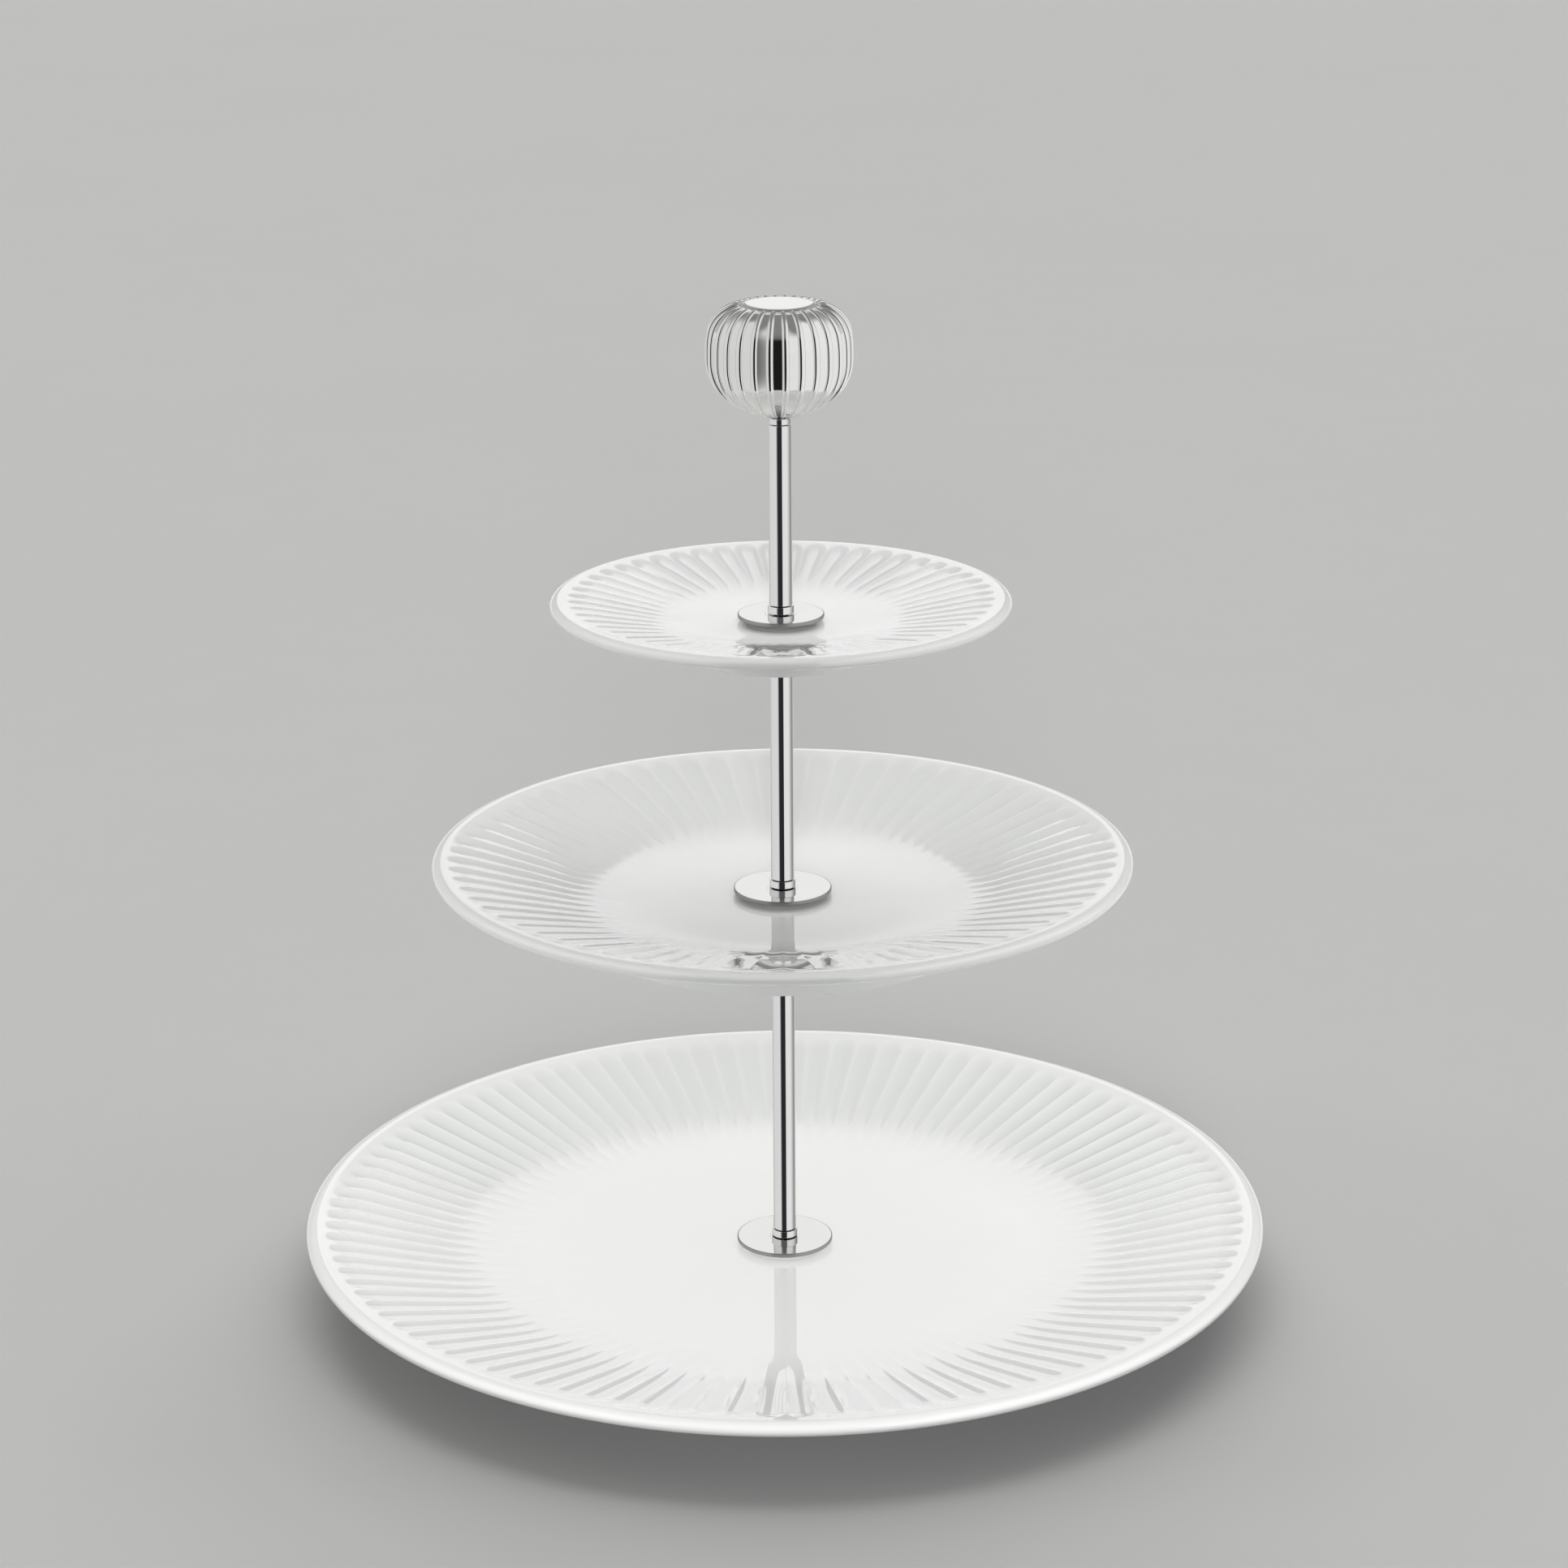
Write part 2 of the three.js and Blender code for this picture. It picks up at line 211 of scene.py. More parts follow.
def spun(outline: np.ndarray, angle: np.ndarray) -> np.ndarray:
    """Turns an outline about the axis.

    Args:
        outline: radius and height of each point
        angle: angle of each column

    Returns:
        Radius, height and angle of each point, shaped rings x columns x 3.
    """
    shape = (len(outline), len(angle))
    parts = (outline[:, :1], outline[:, 1:], angle)
    return np.stack([np.broadcast_to(part, shape) for part in parts], axis=-1)


def upright(polar: np.ndarray, foot: float) -> np.ndarray:
    """Sets a turned grid upright on the axis.

    Args:
        polar: radius and height in millimetres and angle of each point
        foot: height of the grid's zero, in metres

    Returns:
        Points in metres, shaped rings x columns x 3.
    """
    radius, height, angle = np.moveaxis(polar, -1, 0)
    across = radius * MM
    return np.stack([across * np.cos(angle), across * np.sin(angle), height * MM + foot], axis=-1)


def filleted(corners: Sequence[Corner], closed: bool = False, steps: int = 6) -> np.ndarray:
    """Rounds the corners of an outline with arcs.

    Args:
        corners: radius, height and fillet of each corner, in millimetres
        closed: whether the outline closes on itself
        steps: segments in each fillet

    Returns:
        Radius and height of each point of the rounded outline.
    """
    points = [np.array(corner[:2], float) for corner in corners]
    rounded: list[np.ndarray] = []
    for k, (_, _, fillet) in enumerate(corners):
        here = points[k]
        if fillet <= 0 or (not closed and k in (0, len(corners) - 1)):
            rounded.append(here)
            continue
        before, after = points[k - 1] - here, points[(k + 1) % len(points)] - here
        reach = min(np.linalg.norm(before), np.linalg.norm(after)) * 0.49
        before, after = before / np.linalg.norm(before), after / np.linalg.norm(after)
        half = math.acos(float(np.clip(before @ after, -1, 1))) / 2
        setback = min(fillet / math.tan(half), reach)
        radius = setback * math.tan(half)
        middle = before + after
        centre = here + middle / np.linalg.norm(middle) * (radius / math.sin(half))
        start, end = here + before * setback - centre, here + after * setback - centre
        bend = math.acos(float(np.clip(start @ end / radius**2, -1, 1)))
        for share in np.linspace(0, 1, steps + 1):
            mixed = math.sin((1 - share) * bend) * start + math.sin(share * bend) * end
            rounded.append(centre + mixed / math.sin(bend))
    return np.array(rounded)


def smooth(share: np.ndarray) -> np.ndarray:
    """An ease from 0 to 1 that is level at both ends."""
    clear = np.clip(share, 0, 1)
    return clear * clear * (3 - 2 * clear)


def foot_of(node: str) -> float:
    """The lowest height of a node, in metres."""
    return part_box(node)[0].z


def size_of(node: str) -> Span:
    """Outer radius and length of a node turned about the axis, in millimetres."""
    low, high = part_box(node)
    return high.x / MM, (high.z - low.z) / MM


# ---- Shader wiring ----


class Wiring:
    """Adds and joins the nodes of one shader tree."""

    spacing = 180

    def __init__(self, tree: bpy.types.NodeTree) -> None:
        """Starts on a tree, which keeps the nodes that it has."""
        self.tree = tree

    def feed(self, node: bpy.types.Node, inputs: dict[str | int, object]) -> None:
        """Sets inputs of a node.

        Args:
            node: the node
            inputs: a value, or a socket to join, for each input by name or number
        """
        for key, value in inputs.items():
            if isinstance(value, Socket):
                self.tree.links.new(value, node.inputs[key])
            else:
                node.inputs[key].default_value = value

    def add(
        self, kind: str, inputs: dict[str | int, object] | None = None, **settings: object
    ) -> bpy.types.Node:
        """Adds a node.

        Args:
            kind: the node's type name
            inputs: a value, or a socket to join, for each input by name or number
            settings: properties of the node itself

        Returns:
            The new node.
        """
        node = self.tree.nodes.new(kind)
        node.location.x = self.spacing * len(self.tree.nodes)
        for name, value in settings.items():
            setattr(node, name, value)
        self.feed(node, inputs or {})
        return node

    def sum(self, operation: str, *values: object) -> Socket:
        """The result of a Math node on up to three values or sockets."""
        node = self.add("ShaderNodeMath", dict(enumerate(values)), operation=operation)
        return node.outputs[0]

    def times(self, first: object, second: object) -> Socket:
        """The product of two values."""
        return self.sum("MULTIPLY", first, second)

    def between(self, value: object, low: float, high: float) -> Socket:
        """A smooth step from 0 at low to 1 at high; low may be the larger one."""
        ends = {"Value": value, "From Min": low, "From Max": high}
        node = self.add("ShaderNodeMapRange", ends, interpolation_type="SMOOTHSTEP")
        return node.outputs["Result"]

    def spread(self, value: object, low: float, high: float) -> Socket:
        """A value from 0..1 stretched to low..high."""
        node = self.add("ShaderNodeMapRange", {"Value": value, "To Min": low, "To Max": high})
        return node.outputs["Result"]

    def blend(self, factor: object, first: object, second: object) -> Socket:
        """The mix of two colours."""
        node = self.add("ShaderNodeMix", {0: factor, 6: first, 7: second}, data_type="RGBA")
        return node.outputs[2]

    def mix(self, factor: object, first: object, second: object) -> Socket:
        """The mix of two values."""
        return self.add("ShaderNodeMix", {0: factor, 2: first, 3: second}).outputs[0]

    def either(self, factor: object, first: object, second: object) -> Socket:
        """The mix of two shaders."""
        return self.add("ShaderNodeMixShader", {0: factor, 1: first, 2: second}).outputs[0]

    def noise(self, place: object, scale: object, detail: float = 2.0) -> Socket:
        """Noise from 0 to 1 at a place."""
        node = self.add("ShaderNodeTexNoise", {"Vector": place, "Scale": scale, "Detail": detail})
        return node.outputs["Fac"]

    def place(self) -> Socket:
        """The place on the object, in metres."""
        return self.add("ShaderNodeTexCoord").outputs["Object"]

    def mark(self, mark: Mark) -> Socket:
        """A value kept on the skin's points."""
        return self.add("ShaderNodeAttribute", attribute_name=mark.value).outputs["Fac"]

    def relief(self, height: Socket, strength: float, distance: float) -> Socket:
        """Normals of a small relief, whose full height is given in millimetres."""
        sizes = {"Height": height, "Strength": strength, "Distance": distance * MM}
        return self.add("ShaderNodeBump", sizes).outputs["Normal"]


@dataclass(frozen=True)
class Effect:
    """A named group of shader nodes that several materials share."""

    title: str
    inputs: tuple[tuple[str, str, object], ...]
    outputs: tuple[tuple[str, str], ...]
    fill: Callable[[Wiring, dict[str, Socket]], dict[str, Socket]]

    def tree(self) -> bpy.types.NodeTree:
        """The group's tree, built the first time it is asked for."""
        known = bpy.data.node_groups.get(self.title)
        if known:
            return known
        tree = bpy.data.node_groups.new(self.title, "ShaderNodeTree")
        for name, kind, value in self.inputs:
            socket = tree.interface.new_socket(name, in_out="INPUT", socket_type=kind)
            socket.default_value = value
        for name, kind in self.outputs:
            tree.interface.new_socket(name, in_out="OUTPUT", socket_type=kind)
        wiring = Wiring(tree)
        source = wiring.add("NodeGroupInput")
        made = self.fill(wiring, {name: source.outputs[name] for name, _, _ in self.inputs})
        wiring.add("NodeGroupOutput", dict(made))
        return tree

    def use(self, wiring: Wiring, **values: object) -> dict[str, Socket]:
        """Places the group in a tree.

        Args:
            wiring: the tree that gets it
            values: its inputs, with underscores for spaces

        Returns:
            The group's output sockets by name.
        """
        node = wiring.add("ShaderNodeGroup", node_tree=self.tree())
        wiring.feed(node, {name.replace("_", " "): value for name, value in values.items()})
        return {name: node.outputs[name] for name, _ in self.outputs}


COLOUR_SOCKET = "NodeSocketColor"
VALUE_SOCKET = "NodeSocketFloat"
VECTOR_SOCKET = "NodeSocketVector"


def fill_mottle(wiring: Wiring, given: dict[str, Socket]) -> dict[str, Socket]:
    """Cloudy change of tone, as in fired glaze and cast rubber."""
    fine_scale, cloud_share, fine_share = 9.0, 0.7, 0.3
    place = wiring.place()
    cloud = wiring.noise(place, given["Scale"], 4.0)
    fine = wiring.noise(place, wiring.times(given["Scale"], fine_scale), 2.0)
    both = wiring.sum("ADD", wiring.times(cloud, cloud_share), wiring.times(fine, fine_share))
    mask = wiring.between(both, 0.3, 0.7)
    share = wiring.times(mask, given["Amount"])
    return {"Color": wiring.blend(share, given["Tone"], given["Shade"]), "Mask": mask}


MOTTLE = Effect(
    "soft_mottle",
    (
        ("Tone", COLOUR_SOCKET, (1, 1, 1, 1)),
        ("Shade", COLOUR_SOCKET, (0.8, 0.8, 0.8, 1)),
        ("Amount", VALUE_SOCKET, 0.5),
        ("Scale", VALUE_SOCKET, 30.0),
    ),
    (("Color", COLOUR_SOCKET), ("Mask", VALUE_SOCKET)),
    fill_mottle,
)


def fill_marks(wiring: Wiring, given: dict[str, Socket]) -> dict[str, Socket]:
    """Fine polishing lines drawn out along one direction, with hand smudges over them."""
    line_scale, line_detail, smudge_detail = 60.0, 6.0, 3.0
    place = wiring.place()
    drawn = wiring.add("ShaderNodeMapping", {"Vector": place, "Scale": given["Stretch"]})
    lines = wiring.noise(drawn.outputs["Vector"], line_scale, line_detail)
    hand = wiring.noise(place, given["Smudge Scale"], smudge_detail)
    smudge = wiring.between(hand, 0.42, 0.72)
    rough = wiring.sum("ADD", given["Base"], wiring.times(lines, given["Lines"]))
    total = wiring.sum("ADD", rough, wiring.times(smudge, given["Smudges"]))
    return {"Roughness": total, "Height": lines}


MARKS = Effect(
    "polish_marks",
    (
        ("Stretch", VECTOR_SOCKET, (1, 1, 40)),
        ("Base", VALUE_SOCKET, 0.06),
        ("Lines", VALUE_SOCKET, 0.03),
        ("Smudges", VALUE_SOCKET, 0.03),
        ("Smudge Scale", VALUE_SOCKET, 45.0),
    ),
    (("Roughness", VALUE_SOCKET), ("Height", VALUE_SOCKET)),
    fill_marks,
)


# ---- Finishes ----


def opaque(colour: Sequence[float]) -> tuple[float, float, float, float]:
    """A colour with full alpha."""
    return (colour[0], colour[1], colour[2], 1.0)


def blank_material(name: str) -> tuple[bpy.types.Material, Wiring, bpy.types.Node]:
    """A new node material.

    Args:
        name: the material's name

    Returns:
        The material, its wiring and its Principled shader.
    """
    material = bpy.data.materials.new(name)
    material.use_nodes = True
    wiring = Wiring(material.node_tree)
    return material, wiring, material.node_tree.nodes["Principled BSDF"]


@dataclass(frozen=True, kw_only=True)
class Finish:
    """A surface of one cloudy tone, with polishing lines and smudges over it."""

    tone: Colour
    shade: Colour
    mottle: float
    mottle_scale: float
    roughness: float
    lines: float
    smudges: float
    smudge_scale: float
    stretch: Colour = (1, 1, 1)
    relief_depth: float = 0.1
    metallic: float = 0.0

    def material(self, name: str) -> bpy.types.Material:
        """Builds the finish.

        Args:
            name: the material's name

        Returns:
            The material.
        """
        made, wiring, shader = blank_material(name)
        base = MOTTLE.use(
            wiring,
            Tone=opaque(self.tone),
            Shade=opaque(self.shade),
            Amount=self.mottle,
            Scale=self.mottle_scale,
        )
        marks = MARKS.use(
            wiring,
            Stretch=self.stretch,
            Base=self.roughness,
            Lines=self.lines,
            Smudges=self.smudges,
            Smudge_Scale=self.smudge_scale,
        )
        wiring.feed(shader, self.surface(wiring, base | marks))
        shader.inputs["Metallic"].default_value = self.metallic
        return made

    def surface(self, wiring: Wiring, base: dict[str, Socket]) -> dict[str, object]:
        """The inputs of the material's shader.

        Args:
            wiring: the material's wiring
            base: outputs of the mottle and the marks

        Returns:
            A value or a socket for each input by name.
        """
        raise NotImplementedError


@dataclass(frozen=True, kw_only=True)
class Glaze(Finish):
    """White porcelain under a clear, glossy glaze, with bare clay where it stands and painted
    shade in its flutes and underside.
    """

    tone: Colour = (0.925, 0.928, 0.915)
    shade: Colour = (0.9, 0.906, 0.893)
    mottle: float = 0.8
    mottle_scale: float = 14.0
    roughness: float = 0.025
    lines: float = 0.0
    smudges: float = 0.012
    smudge_scale: float = 18.0
    pooled_and_shaded: Colour = (0.74, 0.762, 0.746)
    clay: Colour = (0.78, 0.765, 0.735)
    clay_roughness: float = 0.75
    index: float = 1.7
    coat: float = 0.8
    coat_roughness: float = 0.012
    ripple: float = 0.05
    ripple_scale: float = 20.0
    ripple_detail: float = 1.5
    relief_depth: float = 1.0

    def surface(self, wiring: Wiring, base: dict[str, Socket]) -> dict[str, object]:
        """Darker and greener where the glaze pools in the flutes, darker still as painted shade
        there and under the plate, and matt clay where it was wiped off.
        """
        bare = wiring.mark(Mark.BARE)
        glazed = wiring.blend(wiring.mark(Mark.POOL), base["Color"], opaque(self.pooled_and_shaded))
        wave = wiring.noise(wiring.place(), self.ripple_scale, self.ripple_detail)
        return {
            "Base Color": wiring.blend(bare, glazed, opaque(self.clay)),
            "Roughness": wiring.mix(bare, base["Roughness"], self.clay_roughness),
            "Normal": wiring.relief(wave, self.ripple, self.relief_depth),
            "IOR": self.index,
            "Coat Weight": self.coat,
            "Coat Roughness": self.coat_roughness,
        }


@dataclass(frozen=True, kw_only=True)
class Metal(Finish):
    """Bare or plated metal, whose cut edges are rougher and painted a darker shade.

    Other mirrors show it as a painted reflection: a flat tone that turns pale with distance,
    the wide pieces more than the slim rod. Lengths are in millimetres.
    """

    mottle: float = 0.6
    mottle_scale: float = 60.0
    smudge_scale: float = 45.0
    metallic: float = 1.0
    relief: float
    # Painted shade: the cut edge's darker tone.
    cut_shade_tone: Colour = (0.38, 0.385, 0.36)
    cut_roughness: float = 0.3
    painted_mirror_tone: Colour = (0.9, 0.9, 0.89)
    slim_painted_mirror_tone: Colour = (0.46, 0.465, 0.455)
    slim: float = 4.4
    painted_mirror_from: float = 6.0
    painted_mirror_at: float = 34.0
    painted_mirror_share: float = 0.95

    def surface(self, wiring: Wiring, base: dict[str, Socket]) -> dict[str, object]:
        """Polished metal; where it is cut or far off, other mirrors show it as a painted
        reflection of flat tone.
        """
        cut = wiring.mark(Mark.CUT)
        rays = wiring.add("ShaderNodeLightPath").outputs
        mirrored = rays["Is Glossy Ray"]
        # Painted reflection: seen in another mirror, cut or distant metal turns to a flat diffuse
        # tone.
        distance = wiring.between(rays["Ray Length"], self.painted_mirror_from * MM, self.painted_mirror_at * MM)
        painted_mirror_mask = wiring.sum("MAXIMUM", cut, wiring.times(distance, self.painted_mirror_share))
        painted_in_mirror = wiring.times(mirrored, painted_mirror_mask)
        polished = wiring.blend(painted_in_mirror, base["Color"], self.painted_mirror_colour(wiring))
        # The cut edge: painted a darker shade to the camera, and a painted pale reflection in
        # other mirrors.
        edge = wiring.blend(mirrored, opaque(self.cut_shade_tone), opaque(self.painted_mirror_tone))
        dull = wiring.spread(mirrored, self.cut_roughness, 1.0)
        return {
            "Base Color": wiring.blend(cut, polished, edge),
            "Roughness": wiring.mix(cut, base["Roughness"], dull),
            "Normal": wiring.relief(base["Height"], self.relief, self.relief_depth),
            "Metallic": wiring.sum("SUBTRACT", 1.0, painted_in_mirror),
        }

    def painted_mirror_colour(self, wiring: Wiring) -> Socket:
        """The painted reflection's tone, by distance from the axis: the slim rod, or wider."""
        place = wiring.add("ShaderNodeNewGeometry").outputs["Position"]
        level = {0: place, 1: (1.0, 1.0, 0.0)}
        across = wiring.add("ShaderNodeVectorMath", level, operation="MULTIPLY").outputs[0]
        radius = wiring.add("ShaderNodeVectorMath", {0: across}, operation="LENGTH")
        wide = wiring.sum("GREATER_THAN", radius.outputs["Value"], self.slim * MM)
        return wiring.blend(wide, opaque(self.slim_painted_mirror_tone), opaque(self.painted_mirror_tone))


@dataclass(frozen=True, kw_only=True)
class Rubber(Finish):
    """Milky silicone."""

    tone: Colour = (0.86, 0.86, 0.84)
    shade: Colour = (0.78, 0.785, 0.77)
    mottle: float = 1.0
    mottle_scale: float = 220.0
    roughness: float = 0.42
    lines: float = 0.1
    smudges: float = 0.12
    smudge_scale: float = 160.0
    glow: float = 0.3
    grain: float = 0.12

    def surface(self, wiring: Wiring, base: dict[str, Socket]) -> dict[str, object]:
        """Grainy, and lit through."""
        return {
            "Base Color": base["Color"],
            "Roughness": base["Roughness"],
            "Normal": wiring.relief(base["Mask"], self.grain, self.relief_depth),
            "Subsurface Weight": self.glow,
            "Subsurface Scale": MM,
        }


FINISHES: dict[Slot, Finish] = {
    Slot.PORCELAIN: Glaze(),
    Slot.POLISHED_STEEL: Metal(
        tone=(0.8, 0.8, 0.79),
        shade=(0.77, 0.772, 0.765),
        stretch=(6, 6, 0.25),
        roughness=0.045,
        lines=0.03,
        smudges=0.03,
        relief=0.05,
    ),
    Slot.KNOB_CHROME: Metal(
        tone=(0.81, 0.81, 0.795),
        shade=(0.78, 0.783, 0.77),
        stretch=(2, 2, 2),
        roughness=0.04,
        lines=0.02,
        smudges=0.03,
        relief=0.03,
    ),
    Slot.THREAD_STEEL: Metal(
        tone=(0.56, 0.565, 0.57),
        shade=(0.45, 0.455, 0.46),
        stretch=(1, 1, 30),
        roughness=0.24,
        lines=0.2,
        smudges=0.1,
        relief=0.3,
    ),
    Slot.SILICONE: Rubber(),
}


class Workbench:
    """Dresses finished pieces and sets them on the frame."""

    def __init__(self, record: dict) -> None:
        """Reads which body holds each node, and builds the finishes."""
        bodies = record["behaviour"]["bodies"]
        self.body_of = {node: body for body, nodes in bodies.items() for node in nodes}
        self.materials = {slot: look.material(slot.value) for slot, look in FINISHES.items()}

    def set_down(self, piece: bpy.types.Object, node: str, slot: Slot) -> None:
        """Gives a piece its finish and its place on a body.

        Args:
            piece: the finished piece, already where it belongs
            node: the node that it stands for
            slot: the material slot that it takes
        """
        piece.data.materials.clear()
        piece.data.materials.append(self.materials[slot])
        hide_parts(node)
        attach(piece, self.body_of[node])
        LOG.info("%s: %d faces, %s", piece.name, len(piece.data.polygons), slot.value)

    def turn(
        self,
        node: str,
        slot: Slot,
        corners: Sequence[Corner],
        closed: bool = True,
        columns: int = 96,
        cut_from: float = math.inf,
    ) -> None:
        """Builds and sets down a plain turned piece.

        Args:
            node: the node that it stands for
            slot: the material slot that it takes
            corners: radius, height and fillet of each corner, in millimetres above its foot
            closed: whether the outline closes on itself, as round a bore
            columns: points round each ring
            cut_from: radius from which the surface is cut and not polished, and painted a darker
                shade
        """
        outline = filleted(corners, closed)
        grid = upright(spun(outline, evenly(columns)), foot_of(node))
        cut = np.repeat((outline[:, :1] > cut_from).astype(float), columns, axis=1)
        ends = Ends.LOOP if closed else Ends.POLES
        self.set_down(skin(f"{node}_turned", grid, ends, {Mark.CUT: cut}), node, slot)


# ---- Plates ----


# Sizes of the bottom, middle and top plates, by the name of their field.
PLATE_SIZES = {
    "flutes": (104, 68, 52),
    "well_radius": (92, 54, 29),
    "floor_height": (9.9, 9.1, 10.3),
    "floor_thickness": (4.6, 4.2, 3.8),
    "rim_sweep": (1.0, 0.9, 0.85),
    "lip": (5, 4.4, 4),
    "foot_radius": (92.5, 64.5, 26.5),
    "foot_width": (4, 3.6, 3.2),
    "plain_band": (6.4, 5.0, 4.8),
    "flute_start": (78, 49, 27),
    "flute_depth": (0.7, 0.6, 0.55),
    "seed": (11, 23, 37),
}


@dataclass
class FlutedPlate:
    """A porcelain plate with a level well and a sloping rim of gouged flutes.

    Lengths are in millimetres. Shares are parts of the lip's thickness, of the rim's width or
    of a full flute. Wander is the spread of hand work in each flute's start and end, in its
    lean as a part of a flute, and in its depth as a share.
    """

    tier: Tier
    flutes: int
    well_radius: float
    floor_height: float
    floor_thickness: float
    rim_sweep: float
    lip: float
    foot_radius: float
    foot_width: float
    plain_band: float
    flute_start: float
    flute_depth: float
    seed: int
    hole_radius: float = 4.6
    hole_land: float = 0.8
    hole_edge: float = 0.6
    inner_well: float = 0.6
    run_in: float = 3.0
    run_out: float = 0.4
    rings: tuple[int, ...] = (8, 12, 36, 16, 4)
    soft_well: float = 0.25
    full_depth_at: float = 0.6
    flute_columns: int = 10
    start_wander: float = 0.9
    end_wander: float = 0.12
    lean_wander: float = 0.0175
    hand_wander: float = 0.05
    soft_ridge: float = 0.06
    nose_share: float = 0.8
    lip_start: float = 0.15
    lip_turn: Span = (80.0, -75.0)
    lip_rings: int = 18
    under_rings: int = 16
    edge_share: float = 0.42
    edge_roll: float = 0.72
    under_share: float = 0.52
    foot_flare: float = 2.0
    foot_fillet: float = 1.6
    foot_edge: float = 0.8
    lead: float = 2.0
    under_start: float = 0.5
    pool_and_shade_share: float = 0.42
    bare_below: float = 0.35
    rim_radius: float = field(init=False)
    height: float = field(init=False)

    def __post_init__(self) -> None:
        """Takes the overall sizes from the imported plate."""
        self.rim_radius, self.height = size_of(self.node)

    @property
    def node(self) -> str:
        """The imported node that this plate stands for."""
        return f"{self.tier.value}_plate"

    @property
    def crest(self) -> float:
        """Radius of the top of the lip."""
        return self.rim_radius - self.edge_roll * self.lip

    @property
    def flute_end(self) -> float:
        """Radius at which the flutes run out, inside the plain band."""
        return self.rim_radius - self.plain_band

    @property
    def nose(self) -> float:
        """Length of the rounded end of each flute."""
        return TURN * self.flute_end / self.flutes * self.nose_share

    def upper(self, radius: np.ndarray) -> np.ndarray:
        """Height of the upper face between its flutes.

        Args:
            radius: distances from the axis

        Returns:
            Heights above the foot.
        """
        soft = self.soft_well
        climb = (radius - self.well_radius) / (self.crest - self.well_radius)
        turning = np.clip(climb + soft, 0, 2 * soft) ** 2 / (4 * soft)
        eased = turning + np.clip(climb - soft, 0, None)
        return self.floor_height + (self.height - self.floor_height) * eased**self.rim_sweep

    def upper_radii(self) -> np.ndarray:
        """Distances from the axis of the rings on the upper face, from the hole outwards."""
        stops = (
            self.hole_radius + self.hole_land,
            self.well_radius * self.inner_well,
            self.flute_start - self.run_in,
            self.flute_end - self.nose,
            self.flute_end + self.run_out,
            self.crest - self.lip_start * self.lip,
        )
        runs = zip(stops, stops[1:], self.rings)
        spans = [np.linspace(start, end, rings)[:-1] for start, end, rings in runs]
        return np.append(np.concatenate(spans), stops[-1])

    def lower_outline(self) -> np.ndarray:
        """Outline from the lip round the underside and foot to the hole."""
        sweep = np.radians(np.linspace(*self.lip_turn, self.lip_rings))
        share = np.where(sweep > 0, self.edge_share, self.under_share)
        nose = self.height - self.edge_share * self.lip
        across = self.crest + self.edge_roll * self.lip * np.cos(sweep)
        lip = np.stack([across, nose + share * self.lip * np.sin(sweep)], axis=-1)
        joint = self.foot_radius + self.foot_flare
        start = self.crest - self.under_start * self.lip
        outer = np.linspace(start, joint + self.lead, self.under_rings)
        under = np.stack([outer, self.upper(outer) - self.lip], axis=-1)
        below = self.floor_height - self.floor_thickness
        inner = self.foot_radius - self.foot_width
        root = float(self.upper(np.array([joint]))[0]) - self.lip
        foot = filleted(
            [
                (float(under[-1][0]), float(under[-1][1]), 0),
                (joint, root, self.foot_fillet),
                (self.foot_radius, 0, self.foot_edge),
                (inner, 0, self.foot_edge),
                (inner - self.foot_flare, below, self.foot_fillet),
                (self.hole_radius, below, self.hole_edge),
                (self.hole_radius, self.floor_height, self.hole_land),
                (self.hole_radius + self.lead, self.floor_height, 0),
            ]
        )
        return np.vstack([lip, under, foot[1:-1]])

    def flute_field(
        self, radius: np.ndarray, across: np.ndarray, chance: np.random.Generator
    ) -> tuple[np.ndarray, np.ndarray, np.ndarray]:
        """Depth of the gouged flutes, with the small unevenness of hand work.

        Args:
            radius: distance from the axis of each ring
            across: place of each column of one flute, from -1 at a ridge to 1 at the next
            chance: source of the unevenness

        Returns:
            The depth in millimetres and as a share of the full depth, both rings x columns,
            and the angle of each column.
        """
        wander = chance.normal(0, 1, (4, self.flutes))
        ridges = np.arange(self.flutes) + wander[3] * self.lean_wander
        following = np.append(ridges[1:], self.flutes + ridges[0])
        place = (1 + across) / 2
        angle = (ridges[:, None] * (1 - place) + following[:, None] * place).reshape(-1)
        start = self.flute_start + wander[0] * self.start_wander
        end = self.flute_end + wander[1] * self.end_wander
        along = (radius[:, None] - start) / (end - start)
        fade = smooth(along / self.full_depth_at)
        past = np.clip((radius[:, None] - (end - self.nose)) / self.nose, 0, 2)
        hollow = 1 - across[None, None, :] ** 2 - past[:, :, None] ** 2
        soft = (hollow + np.sqrt(hollow**2 + self.soft_ridge**2)) / 2
        share = soft * (fade * (1 + wander[2] * self.hand_wander))[:, :, None]
        share = share.reshape(len(radius), -1)
        depth = share * self.flute_depth * (radius / self.rim_radius)[:, None]
        return depth, share, angle * TURN / self.flutes

    def build(self, bench: Workbench) -> None:
        """Builds the plate and sets it down.

        Args:
            bench: the workbench
        """
        chance = np.random.default_rng(self.seed)
        steps = np.linspace(-1, 1, self.flute_columns + 1)[:-1]
        radii = self.upper_radii()
        depth, share, angle = self.flute_field(radii, np.sin(steps * math.pi / 2), chance)
        upper = spun(np.stack([radii, self.upper(radii)], axis=-1), angle)
        upper[..., 1] -= depth
        lower = self.lower_outline()
        grid = upright(np.vstack([upper, spun(lower, angle)]), foot_of(self.node))
        # Painted shade: the underside and foot, which the lip shades, take the darker pooled
        # tone.
        shaded = np.clip((self.crest - lower[:, :1]) / self.lip, 0, 1)
        clay = np.clip(1 - lower[:, 1:] / self.bare_below, 0, 1)
